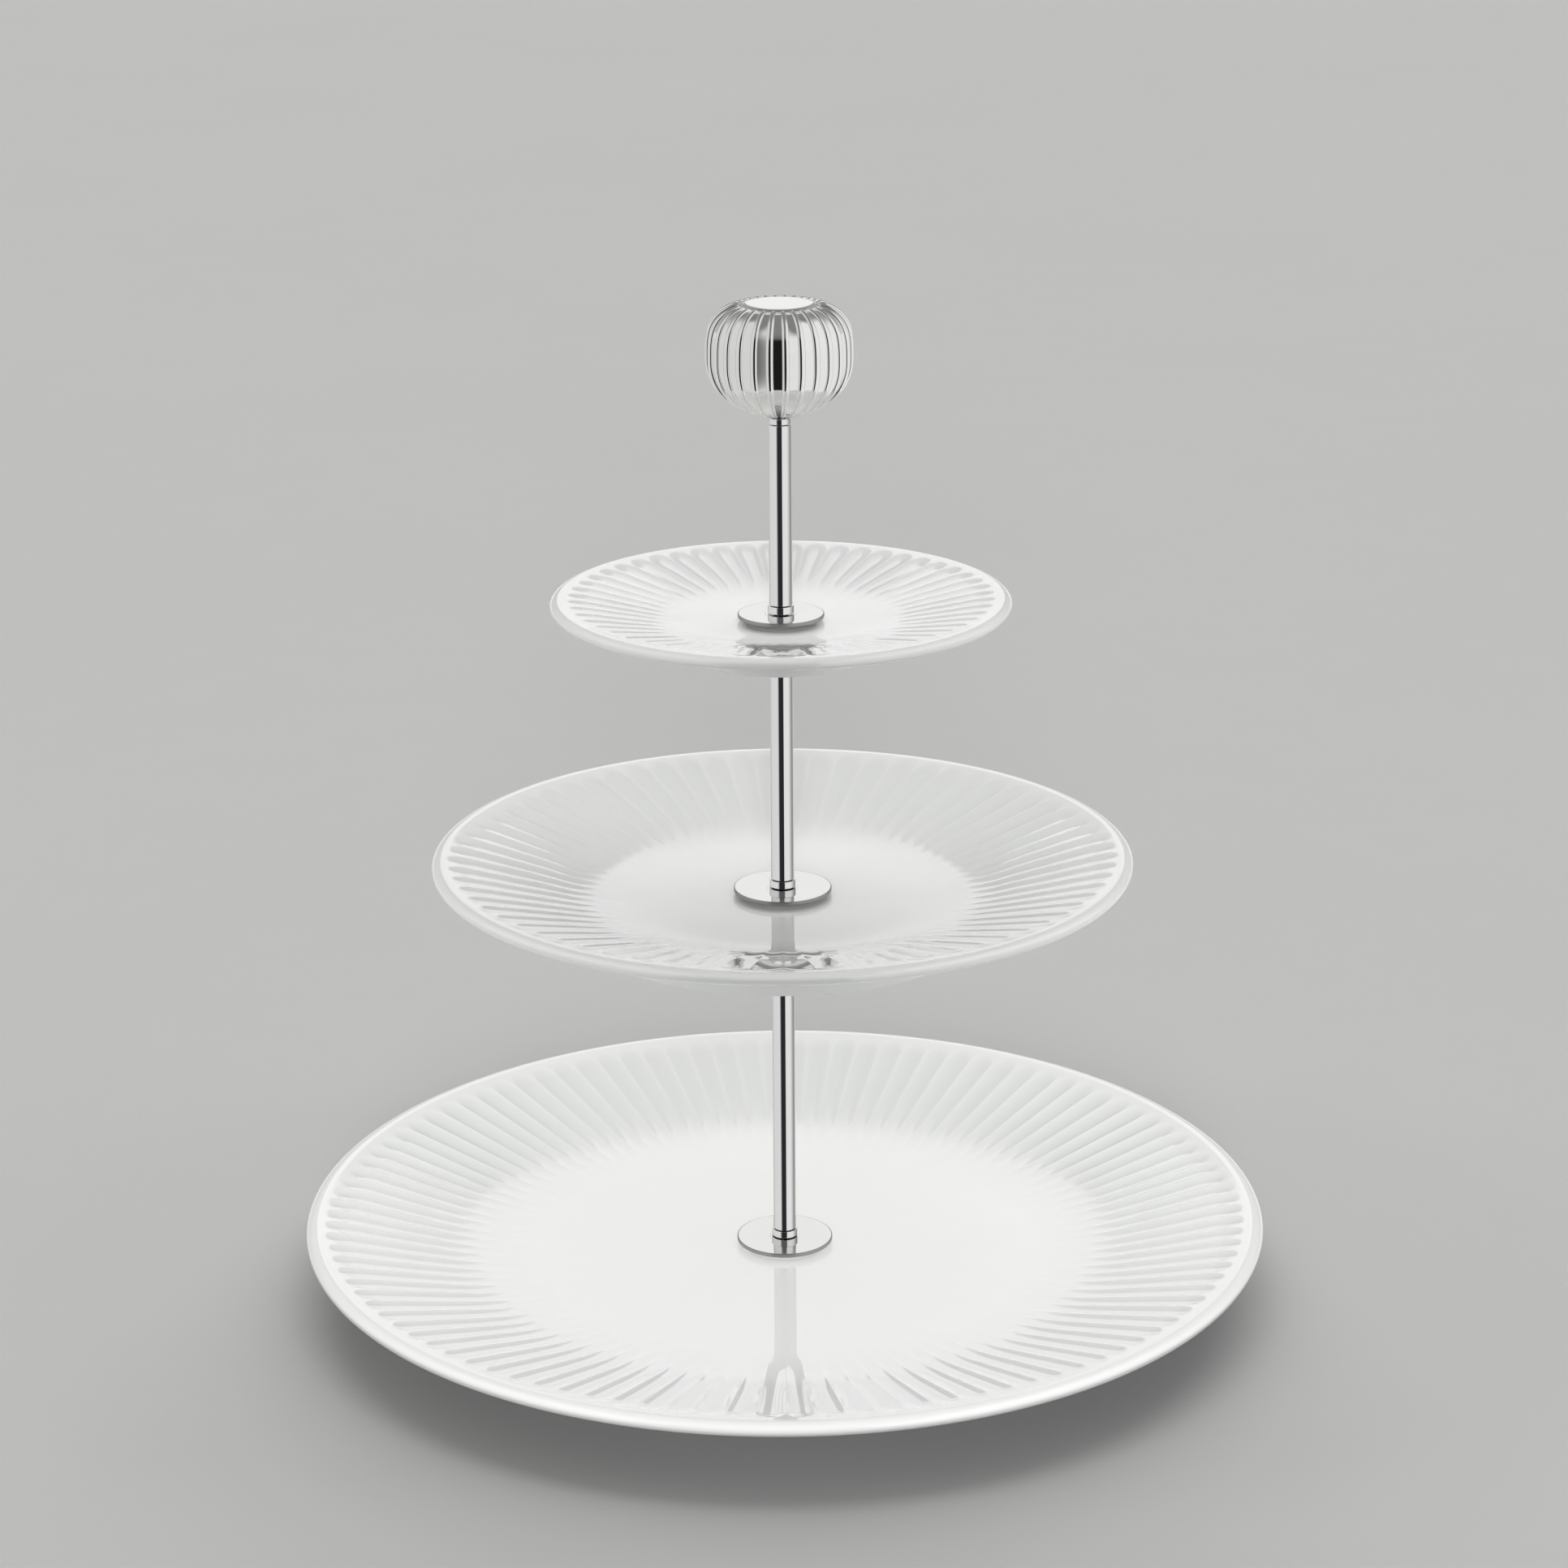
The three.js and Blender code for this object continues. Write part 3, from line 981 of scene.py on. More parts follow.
        # Glaze pooling in the flute troughs, made darker than real pooling as painted shade in
        # the grooves.
        groove_pool_and_shade = np.clip(share, 0, 1) ** 0.5 * self.pool_and_shade_share
        marks = {
            Mark.POOL: np.vstack([groove_pool_and_shade, np.repeat(shaded, len(angle), axis=1)]),
            Mark.BARE: np.vstack([0 * share, np.repeat(clay, len(angle), axis=1)]),
        }
        piece = skin(f"{self.node}_glazed", grid, Ends.LOOP, marks, crease=55.0)
        bench.set_down(piece, self.node, Slot.PORCELAIN)


# ---- Hardware on the rod ----


@dataclass
class PlainRing:
    """A plain ring round the rod, of its node's size.

    Its fillets, in millimetres, are those of the lower inner, lower outer, upper outer and
    upper inner edges.
    """

    node: str
    slot: Slot = Slot.POLISHED_STEEL
    fillets: tuple[float, float, float, float] = (0.05, 0.12, 0.1, 0.05)
    columns: int = 128

    def build(self, bench: Workbench) -> None:
        """Builds the ring and sets it down.

        Args:
            bench: the workbench
        """
        radius, height = size_of(self.node)
        edges = ((BORE, 0), (radius, 0), (radius, height), (BORE, height))
        corners = [(*edge, fillet) for edge, fillet in zip(edges, self.fillets)]
        bench.turn(self.node, self.slot, corners, columns=self.columns)


@dataclass
class PlateClamp:
    """What lies on a plate's floor round the rod: soft gasket, polished disc and collar."""

    tier: Tier
    bead_width: float = 1.6
    bead_height: float = 0.12
    bead_slope: float = 0.2
    disc_edge: float = 0.3
    undercut_width: float = 0.45
    undercut_height: float = 0.4
    face_fall: float = 0.01

    def build(self, bench: Workbench) -> None:
        """Builds the three pieces.

        Args:
            bench: the workbench
        """
        self.build_gasket(bench)
        self.build_disc(bench)
        PlainRing(f"{self.tier.value}_collar").build(bench)

    def build_gasket(self, bench: Workbench) -> None:
        """Turns the thin soft ring, with a raised bead at its edge.

        Args:
            bench: the workbench
        """
        node = f"{self.tier.value}_gasket"
        radius, thick = size_of(node)
        inside, low = radius - self.bead_width, thick - self.bead_height
        corners = [
            (BORE, 0, 0.08),
            (radius, 0, 0.12),
            (radius, thick, 0.18),
            (inside, thick, 0.1),
            (inside - self.bead_slope, low, 0.05),
            (BORE, low, 0.05),
        ]
        bench.turn(node, Slot.SILICONE, corners)

    def build_disc(self, bench: Workbench) -> None:
        """Turns the disc: level face, rounded upper edge, small undercut below.

        Args:
            bench: the workbench
        """
        node = f"{self.tier.value}_disc"
        radius, thick = size_of(node)
        inside = radius - self.undercut_width
        corners = [
            (BORE, 0, 0.05),
            (inside, 0, 0.12),
            (radius, self.undercut_height, 0.25),
            (radius, thick - self.face_fall, self.disc_edge),
            (inside, thick, 0),
            (BORE, thick, 0.05),
        ]
        cut = radius - self.disc_edge
        bench.turn(node, Slot.POLISHED_STEEL, corners, columns=192, cut_from=cut)


@dataclass
class PlateSeat:
    """What carries a plate from below: steel washer and soft sleeved grommet."""

    tier: Tier
    washer_fillets: tuple[float, float, float, float] = (0.12, 0.3, 0.3, 0.12)
    sleeve_radius: float = 4.35
    flange: float = 0.8

    def build(self, bench: Workbench) -> None:
        """Builds both pieces.

        Args:
            bench: the workbench
        """
        washer = f"{self.tier.value}_washer"
        PlainRing(washer, Slot.THREAD_STEEL, self.washer_fillets, columns=96).build(bench)
        grommet = f"{self.tier.value}_grommet"
        radius, tall = size_of(grommet)
        corners = [
            (BORE, 0, 0.15),
            (radius, 0, 0.3),
            (radius, self.flange, 0.3),
            (self.sleeve_radius, self.flange, 0.25),
            (self.sleeve_radius, tall, 0.35),
            (BORE, tall, 0.2),
        ]
        bench.turn(grommet, Slot.SILICONE, corners)


@dataclass
class ThreadedBar:
    """A bar with a rolled vee thread.

    Its flanks are drawn steeper than the pitch asks for and then clipped, which leaves a
    flat crest and root.
    """

    node: str
    pitch: float = 0.7
    depth: float = 0.4
    steepness: float = 1.3
    crest_share: float = 0.15
    tip: float = 0.45
    columns: int = 36
    rings_per_pitch: int = 7
    crease: float = 60.0

    def bar(self, length: float, start: float = 0.0) -> np.ndarray:
        """The surface of a threaded bar.

        Args:
            length: the bar's whole length
            start: height from which it is made

        Returns:
            Radius, height and angle of each point, shaped rings x columns x 3.
        """
        count = int((length - start) / self.pitch * self.rings_per_pitch)
        height = np.linspace(start, length, count)
        polar = spun(np.stack([height, height], axis=-1), evenly(self.columns))
        phase = (polar[..., 1] / self.pitch - polar[..., 2] / TURN) % 1
        slope = self.steepness * (1 - np.abs(2 * phase - 1))
        flank = np.clip(slope - self.crest_share, 0, 1)
        from_end = np.minimum(height, length - height)[:, None]
        limit = THREAD_RADIUS - self.tip + np.clip(from_end, 0, self.tip)
        polar[..., 0] = np.minimum(THREAD_RADIUS - self.depth * flank, limit)
        return polar

    def build(self, bench: Workbench) -> None:
        """Builds a stud and sets it down.

        Args:
            bench: the workbench
        """
        grid = upright(self.bar(size_of(self.node)[1]), foot_of(self.node))
        piece = skin(f"{self.node}_threaded", grid, Ends.POLES, crease=self.crease)
        bench.set_down(piece, self.node, Slot.THREAD_STEEL)


@dataclass
class BaseScrew(ThreadedBar):
    """The screw from below that holds the bottom plate to the rod.

    Its neck is the short plain step, above the head, from the end of the head's grid to the
    start of the thread.
    """

    node: str = "base_screw"
    head_height: float = 2.2
    neck: Span = (0.3, 0.4)
    core: float = 0.05
    slot_width: float = 1.4
    slot_depth: float = 1.1
    slot_bevel: float = 0.2
    slot_crease: float = 40.0

    def head(self, radius: float) -> np.ndarray:
        """The surface of a head of this radius, as radius, height and angle."""
        corners = [
            (self.core, 0, 0),
            (radius, 0, 0.55),
            (radius, self.head_height, 0.3),
            (THREAD_RADIUS, self.head_height, 0.15),
            (THREAD_RADIUS, self.head_height + self.neck[0], 0),
        ]
        return spun(filleted(corners), evenly(self.columns))

    def build(self, bench: Workbench) -> None:
        """Builds the screw, cuts the driver's slot in its head and sets it down.

        Args:
            bench: the workbench
        """
        radius, length = size_of(self.node)
        shank = self.bar(length, self.head_height + self.neck[1])
        grid = upright(np.vstack([self.head(radius), shank]), foot_of(self.node))
        piece = skin("base_screw_slotted", grid, Ends.POLES, crease=self.crease)
        self.cut_slot(piece, radius)
        bench.set_down(piece, self.node, Slot.THREAD_STEEL)

    def cut_slot(self, piece: bpy.types.Object, radius: float) -> None:
        """Cuts the slot across the underside of the head.

        Args:
            piece: the screw
            radius: the head's radius
        """
        foot, bevel = foot_of(self.node), self.slot_bevel * MM
        reach, half = radius * 1.5 * MM, self.slot_width / 2 * MM
        low, top = foot - MM, foot + self.slot_depth * MM
        outline = [(-half, low), (half, low), (half, top - bevel), (half - bevel, top)]
        outline += [(bevel - half, top), (-half, top - bevel)]
        points = [(x, y, z) for x in (-reach, reach) for y, z in outline]
        count = len(outline)
        steps = [(k, (k + 1) % count) for k in range(count)]
        sides = [(here, after, count + after, count + here) for here, after in steps]
        caps = [tuple(range(count))[::-1], tuple(range(count, 2 * count))]
        cutter = meshed("slot_cutter", points, sides + caps)
        cut = piece.modifiers.new("slot", "BOOLEAN")
        cut.operation, cut.solver, cut.object = "DIFFERENCE", "EXACT", cutter
        depsgraph = bpy.context.evaluated_depsgraph_get()
        shaped = bpy.data.meshes.new_from_object(piece.evaluated_get(depsgraph))
        piece.modifiers.clear()
        piece.data = shaped
        shaped.set_sharp_from_angle(angle=math.radians(self.slot_crease))
        bpy.data.meshes.remove(cutter.data)


@dataclass
class RodLength:
    """One polished length of the rod, bored at both ends, and the stud in its head."""

    node: str
    stud: str
    bore_below: float = 7.25
    bore_above: float = 10.25
    edge: float = 0.3
    lower_edge: float = 0.1
    bore_edge: float = 0.12
    core: float = 0.02

    def build(self, bench: Workbench) -> None:
        """Builds the rod and its stud.

        Args:
            bench: the workbench
        """
        radius, length = size_of(self.node)
        floor, roof = self.bore_below, length - self.bore_above
        corners = [
            (self.core, floor, 0),
            (BORE, floor, 0),
            (BORE, 0, self.bore_edge),
            (radius, 0, self.lower_edge),
            (radius, length, self.edge),
            (BORE, length, self.bore_edge),
            (BORE, roof, 0),
            (self.core, roof, 0),
        ]
        bench.turn(self.node, Slot.POLISHED_STEEL, corners, closed=False, columns=144)
        ThreadedBar(self.stud).build(bench)


# ---- Knob ----


@dataclass
class RibbedKnob:
    """The screw-on knob: a flattened globe with half-round ribs and a level crown.

    Lengths are in millimetres. Heights of the dome and bowl are from the widest level.
    """

    ribs: int = 28
    radius: float = 22.0
    dome_height: float = 16.9
    dome_power: float = 3.2
    bowl_height: float = 17.9
    bowl_power: float = 2.1
    crown_height: float = 16.0
    crown_radius: float = 11.2
    crown_roll: float = 14.0
    crown_drop: float = 0.8
    crown_step: float = 0.5
    crown_core: float = 0.005
    crown_flat: float = 0.2
    crown_rings: int = 15
    crown_edge: tuple[Span, ...] = ((0.14, 0.08), (0.2, 0.3))
    neck_radius: float = 3.5
    neck_step: float = 0.35
    neck_lip: float = 0.5
    core: float = 0.05
    bore_depth: float = 7.25
    rings: int = 121
    crowding: float = 0.035
    rib_height: float = 0.7
    rib_width: float = 2.2
    rib_taper: float = 0.7
    rib_narrowing: float = 0.85
    rib_share: float = 0.36
    rib_columns: int = 14
    rib_foot: float = 0.35
    rib_foot_run: float = 2.0
    nose: float = 1.6
    valley: float = 0.55
    valley_run: float = 2.6
    panel_hollow: float = 0.05
    panel_columns: int = 10
    front_panel: float = -91.3
    node: str = "knob"

    def globe(self, angle: np.ndarray) -> np.ndarray:
        """Outline over the ribs.

        Args:
            angle: angles from the crown down, in radians

        Returns:
            Radius and height above the widest level, in millimetres.
        """
        dome = angle <= math.pi / 2
        power = np.where(dome, 2 / self.dome_power, 2 / self.bowl_power)
        height = np.where(dome, self.dome_height, -self.bowl_height)
        side = np.abs(np.sin(angle)) ** power
        rise = np.abs(np.cos(angle)) ** power
        return np.stack([self.radius * side, height * rise], axis=-1)

    def ribbed(self) -> np.ndarray:
        """The ribbed part of the globe, as radius, height and angle on rings x columns."""
        top = self.crown_radius + self.crown_step
        first = math.asin((top / self.radius) ** (self.dome_power / 2))
        low = self.neck_radius + self.crown_step
        last = math.pi - math.asin((low / self.radius) ** (self.bowl_power / 2))
        share = np.linspace(0, 1, self.rings)
        share = share - self.crowding * np.sin(share * TURN)
        path = self.globe(first + (last - first) * share)
        run = np.gradient(path, axis=0)
        inward = np.stack([run[:, 1], -run[:, 0]], axis=-1)
        inward /= np.linalg.norm(inward, axis=1)[:, None]
        step = np.linalg.norm(np.diff(path, axis=0), axis=1)
        travelled = np.concatenate([[0], np.cumsum(step)])
        left = travelled[-1] - travelled
        nose = np.sqrt(1 - (1 - np.clip(travelled / self.nose, 0, 1)) ** 2)
        foot = self.rib_foot + (1 - self.rib_foot) * smooth(left / self.rib_foot_run)
        rise = self.rib_height * (path[:, 0] / self.radius) ** self.rib_taper
        rise = rise + self.valley * (1 - smooth(travelled / self.valley_run))
        column, bead, panel = self.columns(path[:, 0])
        hollow = (self.panel_hollow * path[:, 0] / self.radius)[:, None] * panel
        sink = rise[:, None] * (1 - (nose * foot)[:, None] * bead) + hollow
        radius = path[:, :1] + inward[:, :1] * sink
        height = path[:, 1:] + inward[:, 1:] * sink
        return np.stack([radius, height, column], axis=-1)

    def columns(self, radius: np.ndarray) -> tuple[np.ndarray, np.ndarray, np.ndarray]:
        """Columns round the knob.

        Args:
            radius: distance from the axis of each ring

        Returns:
            The angle of each column on each ring, and for each column how far it stands on a
            rib and how far into a panel's hollow, both from 0 to 1.
        """
        pitch = TURN / self.ribs
        taper = (radius / self.radius) ** (self.rib_narrowing - 1)
        half = self.rib_width / 2 / self.radius * taper
        half = np.minimum(half, self.rib_share * pitch)[:, None]
        on_rib = -np.cos(np.linspace(0, math.pi, self.rib_columns + 1))[:-1]
        on_panel = np.linspace(-1, 1, self.panel_columns + 1)[:-1]
        bead = np.concatenate([(1 - on_rib**2) ** 0.5, 0 * on_panel])
        hollow = np.concatenate([0 * on_rib, 1 - on_panel**2])
        one = np.hstack([on_rib * half, pitch / 2 + on_panel * (pitch / 2 - half)])
        first = math.radians(self.front_panel) - pitch / 2
        angle = np.hstack([first + rib * pitch + one for rib in range(self.ribs)])
        return angle, np.tile(bead, self.ribs), np.tile(hollow, self.ribs)

    def crown(self) -> np.ndarray:
        """Outline of the crown, which falls away to a small rolled edge in the ribs' valley."""
        share = np.append(self.crown_core, np.linspace(self.crown_flat, 1, self.crown_rings))
        fall = self.crown_drop * share**self.crown_roll
        top = np.stack([self.crown_radius * share, self.crown_height - fall], axis=-1)
        low = self.crown_height - self.crown_drop
        edge = [(self.crown_radius + out, low - down) for out, down in self.crown_edge]
        return np.vstack([top, edge])

    def neck(self) -> np.ndarray:
        """Outline from under the ribs round the neck and up the threaded bore."""
        low, roof = -self.bowl_height, self.bore_depth - self.bowl_height
        corners = [
            (self.neck_radius + self.neck_step, low + self.neck_step, 0),
            (self.neck_radius - self.neck_lip, low, 0.3),
            (BORE, low, 0.1),
            (BORE, roof, 0),
            (self.core, roof, 0),
        ]
        return filleted(corners)

    def build(self, bench: Workbench) -> None:
        """Builds the knob and sets it down.

        Args:
            bench: the workbench
        """
        ribbed = self.ribbed()
        angle = ribbed[0, :, 2]
        polar = np.vstack([spun(self.crown(), angle), ribbed, spun(self.neck(), angle)])
        grid = upright(polar, foot_of(self.node) + self.bowl_height * MM)
        piece = skin("knob_ribbed", grid, Ends.POLES, crease=50.0)
        bench.set_down(piece, self.node, Slot.KNOB_CHROME)


# ---- Studio ----


def fill_bearing(wiring: Wiring, given: dict[str, Socket]) -> dict[str, Socket]:
    """Bearing of a direction round the stand, in degrees from the front, right positive.

    The gap is the dark opening ahead, between its soft left side and its crisp right side.
    """
    crisp = 2.5
    parts = wiring.add("ShaderNodeSeparateXYZ", {"Vector": given["Direction"]}).outputs
    ahead = wiring.times(parts["Y"], -1.0)
    turn = wiring.times(wiring.sum("ARCTAN2", parts["X"], ahead), 180 / math.pi)
    left, right = given["Left"], given["Right"]
    past_left = wiring.between(turn, left, wiring.sum("ADD", left, given["Softness"]))
    past_right = wiring.between(turn, right, wiring.sum("SUBTRACT", right, crisp))
    return {"Bearing": turn, "Gap": wiring.times(past_left, past_right)}


BEARING = Effect(
    "front_bearing",
    (
        ("Direction", VECTOR_SOCKET, (0, 0, 0)),
        ("Left", VALUE_SOCKET, -40.0),
        ("Softness", VALUE_SOCKET, 18.0),
        ("Right", VALUE_SOCKET, 20.0),
    ),
    (("Bearing", VALUE_SOCKET), ("Gap", VALUE_SOCKET)),
    fill_bearing,
)


SIDES: Span = (-60.0, 60.0)


def side_level(wiring: Wiring, bearing: Socket, left: float, right: float) -> Socket:
    """A level that changes from one at the left of the stand to one at its right."""
    return wiring.spread(wiring.between(bearing, *SIDES), left, right)


class Reach(Enum):
    """What a lamp lights: the whole stand, its lowest plate, or all but that plate."""

    STAND = "stand"
    LOWEST = "lowest"
    REST = "rest"

    def lights(self, piece: str) -> bool:
        """Whether a piece of this name is lit."""
        lowest = piece == "bottom_plate_glazed"
        return {Reach.STAND: piece != "floor", Reach.LOWEST: lowest, Reach.REST: not lowest}[self]

    def link(self, lamp: bpy.types.Object) -> None:
        """Makes a lamp light only these pieces, and the lowest plate only itself cast shade."""
        lit = bpy.data.collections.new(f"{lamp.name}_lights")
        for piece in bpy.context.scene.objects:
            if piece.type == "MESH" and self.lights(piece.name):
                lit.objects.link(piece)
        lamp.light_linking.receiver_collection = lit
        if self is Reach.LOWEST:
            lamp.light_linking.blocker_collection = lit


@dataclass
class SoftSun:
    """A very broad, even lamp, as from a large silk. Its angles are in degrees."""

    name: str
    bearing: float
    elevation: float
    spread: float
    level: float
    reach: Reach

    def build(self) -> None:
        """Adds the lamp, unseen in reflections, where the panels show instead."""
        data = bpy.data.lights.new(self.name, "SUN")
        data.angle = math.radians(self.spread)
        data.energy = self.level * math.pi
        lamp = linked(self.name, data)
        turn, rise = math.radians(self.bearing), math.radians(self.elevation)
        across = math.cos(rise)
        towards = Vector((math.sin(turn) * across, -math.cos(turn) * across, math.sin(rise)))
        lamp.rotation_euler = towards.to_track_quat("Z", "Y").to_euler()
        lamp.visible_glossy = False
        self.reach.link(lamp)


@dataclass
class LowCard:
    """A glowing card near the floor, which lifts the undersides and outer edges."""

    name: str
    place: tuple[float, float, float]
    width: float
    height: float
    power: float
    reach: Reach
    aim: tuple[float, float, float] = (0.0, 0.0, 0.16)

    def build(self) -> None:
        """Adds the card, unseen by the camera and in reflections."""
        data = bpy.data.lights.new(self.name, "AREA")
        data.shape, data.size, data.size_y = "RECTANGLE", self.width, self.height
        data.energy = self.power
        card = linked(self.name, data)
        card.location = self.place
        away = Vector(self.place) - Vector(self.aim)
        card.rotation_euler = away.to_track_quat("Z", "Y").to_euler()
        card.visible_glossy = False
        card.visible_camera = False
        self.reach.link(card)


@dataclass
class RodSleeve:
    """Open glowing sleeve round the rod, no lamp, which only the rod's polish sees: its painted
    reflection.

    It is tall enough for the rod with every joint undone. Lengths are in millimetres. Bearings
    are in degrees from the front, and each span runs from no effect to the full one.
    """

    below: str
    above: str
    radius: float = 4.6
    clearance: float = 0.05
    rise: float = 21.0
    sight: float = 4.2
    reach: float = 105.0
    columns: int = 49
    left_level: float = 0.82
    right_level: float = 0.95
    dip_in: Span = (38.0, 78.0)
    dip_out: Span = (105.0, 92.0)
    dip_level: float = 0.34
    edge: Span = (-72.0, -94.0)
    edge_level: float = 0.6
    gap_left: float = -26.0
    gap_softness: float = 12.0
    gap_right: float = 13.0
    gap: Colour = (0.026, 0.026, 0.032)
    mirrored_gap: Colour = (0.13, 0.13, 0.135)

    def build(self) -> None:
        """Sets up the sleeve from the piece below to the highest place of the piece above."""
        turn = np.radians(np.linspace(-self.reach, self.reach, self.columns))
        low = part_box(self.below)[1].z + self.clearance * MM
        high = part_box(self.above)[0].z + self.rise * MM
        ring = np.stack([np.sin(turn), -np.cos(turn)], axis=-1) * self.radius * MM
        points = [(x, y, z) for z in (low, high) for x, y in ring]
        count = self.columns
        faces = [(k, count + k, count + k + 1, k + 1) for k in range(count - 1)]
        sleeve = meshed("rod_sleeve", points, faces)
        first = sleeve.data.polygons[0]
        if first.normal.dot(first.center * Vector((1, 1, 0))) > 0:
            sleeve.data.flip_normals()
        sleeve.data.materials.append(self.material())
        for ray in ("camera", "diffuse", "transmission", "volume_scatter", "shadow"):
            setattr(sleeve, f"visible_{ray}", False)

    def material(self) -> bpy.types.Material:
        """The glow that paints the rod's reflection: tones by bearing inside, nothing outside or
        from further off.
        """
        made, wiring, shader = blank_material("sleeve_painted_reflection")
        geometry = wiring.add("ShaderNodeNewGeometry").outputs
        seen = BEARING.use(
            wiring,
            Direction=geometry["Position"],
            Left=self.gap_left,
            Softness=self.gap_softness,
            Right=self.gap_right,
        )
        bearing = seen["Bearing"]
        level = side_level(wiring, bearing, self.left_level, self.right_level)
        dip = [wiring.between(bearing, *span) for span in (self.dip_in, self.dip_out)]
        shaded = wiring.mix(wiring.times(*dip), level, self.dip_level)
        dimmed = wiring.mix(wiring.between(bearing, *self.edge), shaded, self.edge_level)
        grey = wiring.add("ShaderNodeCombineColor", dict.fromkeys(range(3), dimmed)).outputs[0]
        rays = wiring.add("ShaderNodeLightPath").outputs
        mirrored = wiring.between(rays["Glossy Depth"], 1.0, 2.0)
        dark = wiring.blend(mirrored, opaque(self.gap), opaque(self.mirrored_gap))
        tone = wiring.blend(seen["Gap"], grey, dark)
        # The sleeve glows though it is no lamp, painting the rod's reflection with these tones.
        glow = wiring.add("ShaderNodeEmission", {"Color": tone}).outputs[0]
        clear = wiring.add("ShaderNodeBsdfTransparent").outputs[0]
        far = wiring.sum("GREATER_THAN", rays["Ray Length"], self.sight * MM)
        unseen = wiring.sum("MAXIMUM", geometry["Backfacing"], far)
        output = made.node_tree.nodes["Material Output"]
        wiring.feed(output, {"Surface": wiring.either(unseen, glow, clear)})
        made.node_tree.nodes.remove(shader)
        return made


@dataclass
class Studio:
    """Pale floor, soft lamps, reflecting panels and the camera.

    Names in level, panel, wall, strip and in_metal are the strengths that bright surfaces see.
    Each span runs from no effect to the full one: bearings in degrees, ray lengths in metres,
    and the rest as parts of a direction one long.
    """

    floor_half: float = 12.0
    floor_drop: float = 0.3
    floor_tone: Colour = (0.6, 0.6, 0.595)
    floor_shade: float = 0.985
    floor_bounce: Colour = (0.12, 0.12, 0.118)
    floor_in_metal: float = 0.98
    rear_floor: Span = (125.0, 150.0)
    rear_floor_level: float = 0.6
    close_floor: Span = (0.11, 0.07)
    close_floor_level: float = 0.5
    gap_level: float = 0.014
    gap_lift: Span = (0.4, 0.6)
    gap_lift_level: float = 0.16
    left_panel: float = 0.8
    right_panel: float = 0.97
    rear: Span = (110.0, 145.0)
    back_wall: float = 0.4
    back_panel: float = 1.0
    panel_sides: Span = (0.1, 0.08)
    back_strip: float = 0.88
    strip_top: Span = (0.11, 0.09)
    hood_level: float = 0.26
    hood_sides: Span = (0.44, 0.28)
    hood_rise: Span = (0.46, 0.84)
    ambient: float = 0.23
    backdrop: float = 0.9
    eye: tuple[float, float, float] = (0.0006, -1.101, 0.5185)
    pitch: float = 17.94
    roll: float = -0.35
    lens: float = 87.3
    sensor: float = 36.0
    clip: Span = (0.05, 50.0)

    def build(self) -> None:
        """Sets up the whole studio."""
        self.build_floor()
        self.build_world()
        for lamp in (
            SoftSun("back_silk", 172.0, 54.0, 70.0, 0.53, Reach.REST),
            SoftSun("front_silk", 0.0, 14.0, 14.0, 0.37, Reach.REST),
            SoftSun("left_edge_silk", -90.0, 5.0, 20.0, 0.28, Reach.REST),
            SoftSun("right_edge_silk", 90.0, 5.0, 20.0, 0.28, Reach.REST),
            SoftSun("left_silk", -120.0, 50.0, 60.0, 0.05, Reach.REST),
            SoftSun("right_silk", 115.0, 50.0, 60.0, 0.04, Reach.REST),
            SoftSun("low_front_silk", 4.0, 46.0, 60.0, 0.68, Reach.LOWEST),
            SoftSun("low_back_silk", 176.0, 50.0, 60.0, 0.28, Reach.LOWEST),
            LowCard("front_card", (0.0, -0.62, 0.05), 1.2, 0.08, 1.0, Reach.LOWEST),
            LowCard("left_card", (-0.62, -0.1, 0.1), 0.9, 0.08, 0.35, Reach.STAND),
            LowCard("right_card", (0.62, -0.1, 0.1), 0.9, 0.08, 0.35, Reach.STAND),
        ):
            lamp.build()
        RodSleeve("bottom_disc", "knob").build()
        self.build_camera()

    def build_floor(self) -> None:
        """Lays the floor: a matt sheet that metal sees as bright paper with the dark gap."""
        half = self.floor_half
        corners = [(-half, -half, 0), (half, -half, 0), (half, half, 0), (-half, half, 0)]
        floor = meshed("floor", corners, [(0, 1, 2, 3)])
        floor.data.materials.append(self.floor_paper())
        floor.location.z = -self.floor_drop * MM

    def floor_paper(self) -> bpy.types.Material:
        """The floor's material."""
        made, wiring, shader = blank_material("floor_paper")
        tone = MOTTLE.use(
            wiring,
            Tone=opaque(self.floor_tone),
            Shade=opaque([self.floor_shade * part for part in self.floor_tone]),
            Amount=1.0,
            Scale=3.0,
        )
        rays = wiring.add("ShaderNodeLightPath").outputs
        colour = wiring.blend(rays["Is Camera Ray"], opaque(self.floor_bounce), tone["Color"])
        matt = {"Base Color": colour, "Roughness": 0.9, "Specular IOR Level": 0.1}
        wiring.feed(shader, matt)
        place = wiring.add("ShaderNodeNewGeometry").outputs["Position"]
        seen = BEARING.use(wiring, Direction=place)
        bearing = seen["Bearing"]
        sides = side_level(wiring, bearing, self.left_panel, self.right_panel)
        rear = wiring.between(wiring.sum("ABSOLUTE", bearing), *self.rear_floor)
        lit = wiring.times(sides, self.floor_in_metal)
        open_floor = wiring.mix(rear, lit, self.rear_floor_level)
        level = wiring.mix(seen["Gap"], open_floor, self.gap_level)
        close = wiring.between(rays["Ray Length"], *self.close_floor)
        even = wiring.mix(close, level, self.close_floor_level)
        glow = wiring.add("ShaderNodeEmission", {"Strength": even}).outputs[0]
        shown = wiring.either(rays["Is Glossy Ray"], shader.outputs[0], glow)
        wiring.feed(made.node_tree.nodes["Material Output"], {"Surface": shown})
        return made

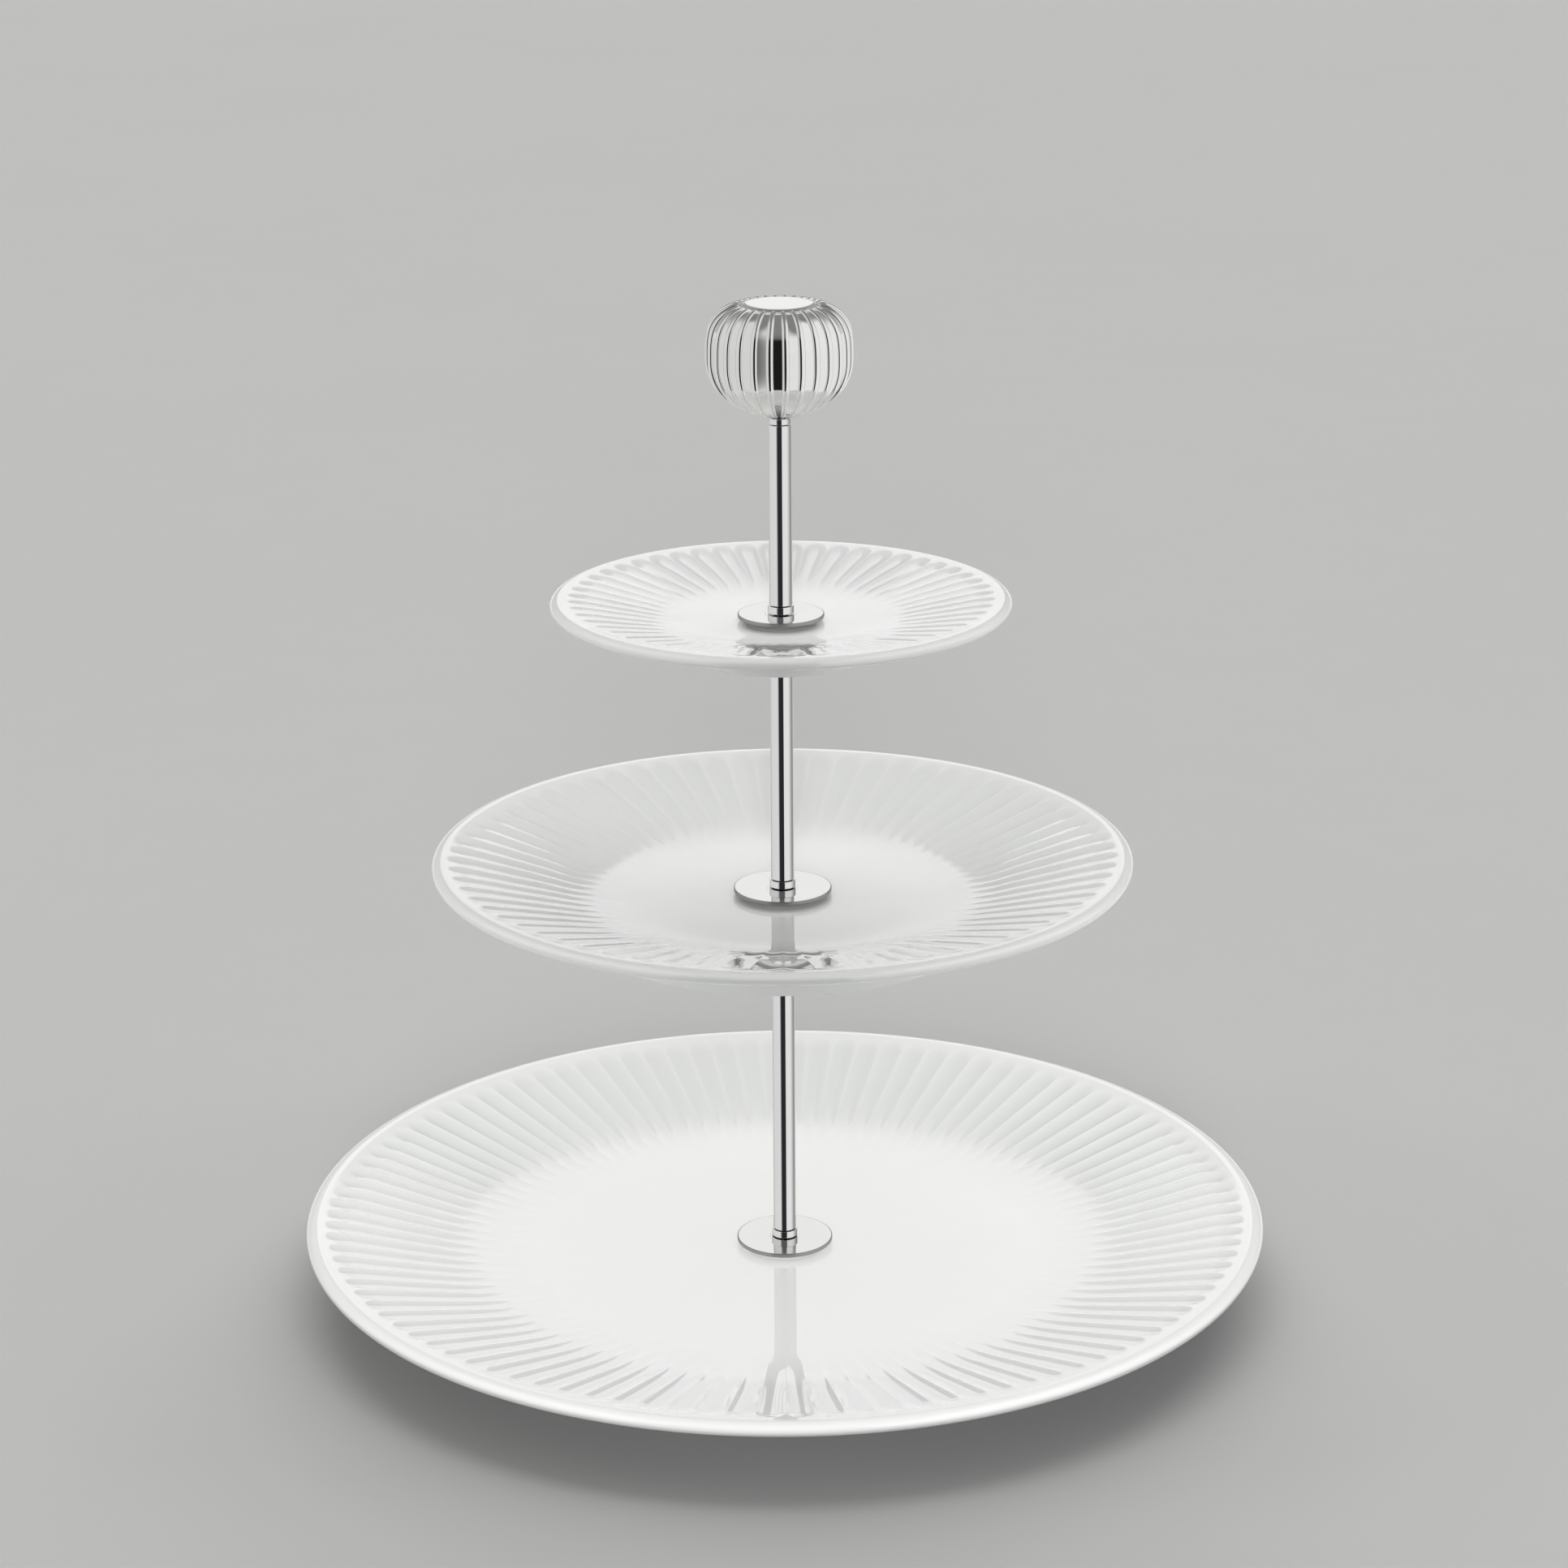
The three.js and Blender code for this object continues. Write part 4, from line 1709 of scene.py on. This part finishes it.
    def build_world(self) -> None:
        """Sets the even light, and the panels that bright surfaces see instead of it."""
        world = bpy.data.worlds.new("studio")
        world.use_nodes = True
        bpy.context.scene.world = world
        world.node_tree.nodes.clear()
        wiring = Wiring(world.node_tree)
        levels = (self.ambient, self.panels(wiring), self.backdrop)
        even, panels, backdrop = (
            wiring.add("ShaderNodeBackground", {"Color": opaque((1, 1, 1)), "Strength": level})
            for level in levels
        )
        rays = wiring.add("ShaderNodeLightPath").outputs
        shown = wiring.either(rays["Is Glossy Ray"], even.outputs[0], panels.outputs[0])
        final = wiring.either(rays["Is Camera Ray"], shown, backdrop.outputs[0])
        wiring.add("ShaderNodeOutputWorld", {"Surface": final})

    def panels(self, wiring: Wiring) -> Socket:
        """Strength of the panels all round: sides, back, the gap ahead and the dark hood."""
        direction = wiring.add("ShaderNodeTexCoord").outputs["Generated"]
        seen = BEARING.use(wiring, Direction=direction)
        bearing = seen["Bearing"]
        parts = wiring.add("ShaderNodeSeparateXYZ", {"Vector": direction}).outputs
        across, rise = wiring.sum("ABSOLUTE", parts["X"]), parts["Z"]
        sides = side_level(wiring, bearing, self.left_panel, self.right_panel)
        panel = wiring.between(across, *self.panel_sides)
        wall = wiring.spread(panel, self.back_wall, self.back_panel)
        back = wiring.mix(wiring.between(rise, *self.strip_top), wall, self.back_strip)
        rear = wiring.between(wiring.sum("ABSOLUTE", bearing), *self.rear)
        lift = wiring.times(wiring.between(rise, *self.gap_lift), self.gap_lift_level)
        dark = wiring.sum("ADD", self.gap_level, lift)
        level = wiring.mix(seen["Gap"], wiring.mix(rear, sides, back), dark)
        under = wiring.between(across, *self.hood_sides)
        hood = wiring.times(wiring.between(rise, *self.hood_rise), under)
        return wiring.mix(hood, level, self.hood_level)

    def build_camera(self) -> None:
        """Adds the camera, level across but for a slight roll."""
        data = bpy.data.cameras.new("camera")
        data.lens, data.sensor_width = self.lens, self.sensor
        data.clip_start, data.clip_end = self.clip
        camera = linked("camera", data)
        tilt = Matrix.Rotation(math.radians(90 - self.pitch), 4, "X")
        roll = Matrix.Rotation(math.radians(self.roll), 4, "Z")
        camera.matrix_world = Matrix.Translation(self.eye) @ tilt @ roll
        bpy.context.scene.camera = camera


# ---- The stand ----


@dataclass
class CakeStand:
    """The whole stand, tier by tier."""

    rods: tuple[RodLength, ...] = (
        RodLength("lower_rod", "middle_stud"),
        RodLength("middle_rod", "upper_stud"),
        RodLength("upper_rod", "knob_stud"),
    )
    ferrule_fillets: tuple[float, float, float, float] = (0.05, 0.12, 0.95, 0.05)

    def build(self, bench: Workbench) -> None:
        """Builds every piece: the screw, the plates with what seats them, the rod, the knob.

        Args:
            bench: the workbench
        """
        BaseScrew().build(bench)
        for level, tier in enumerate(Tier):
            sizes = {name: row[level] for name, row in PLATE_SIZES.items()}
            FlutedPlate(tier, **sizes).build(bench)
            PlateSeat(tier).build(bench)
            PlateClamp(tier).build(bench)
        for rod in self.rods:
            rod.build(bench)
        PlainRing("knob_ferrule", fillets=self.ferrule_fillets).build(bench)
        RibbedKnob().build(bench)


def main() -> None:
    """Builds the studio and the stand."""
    logging.basicConfig(level=logging.INFO, format="%(name)s: %(message)s")
    bpy.context.scene.view_settings.view_transform = "Standard"
    CakeStand().build(Workbench(frame["record"]))
    Studio().build()


if __name__ == "__main__":
    main()
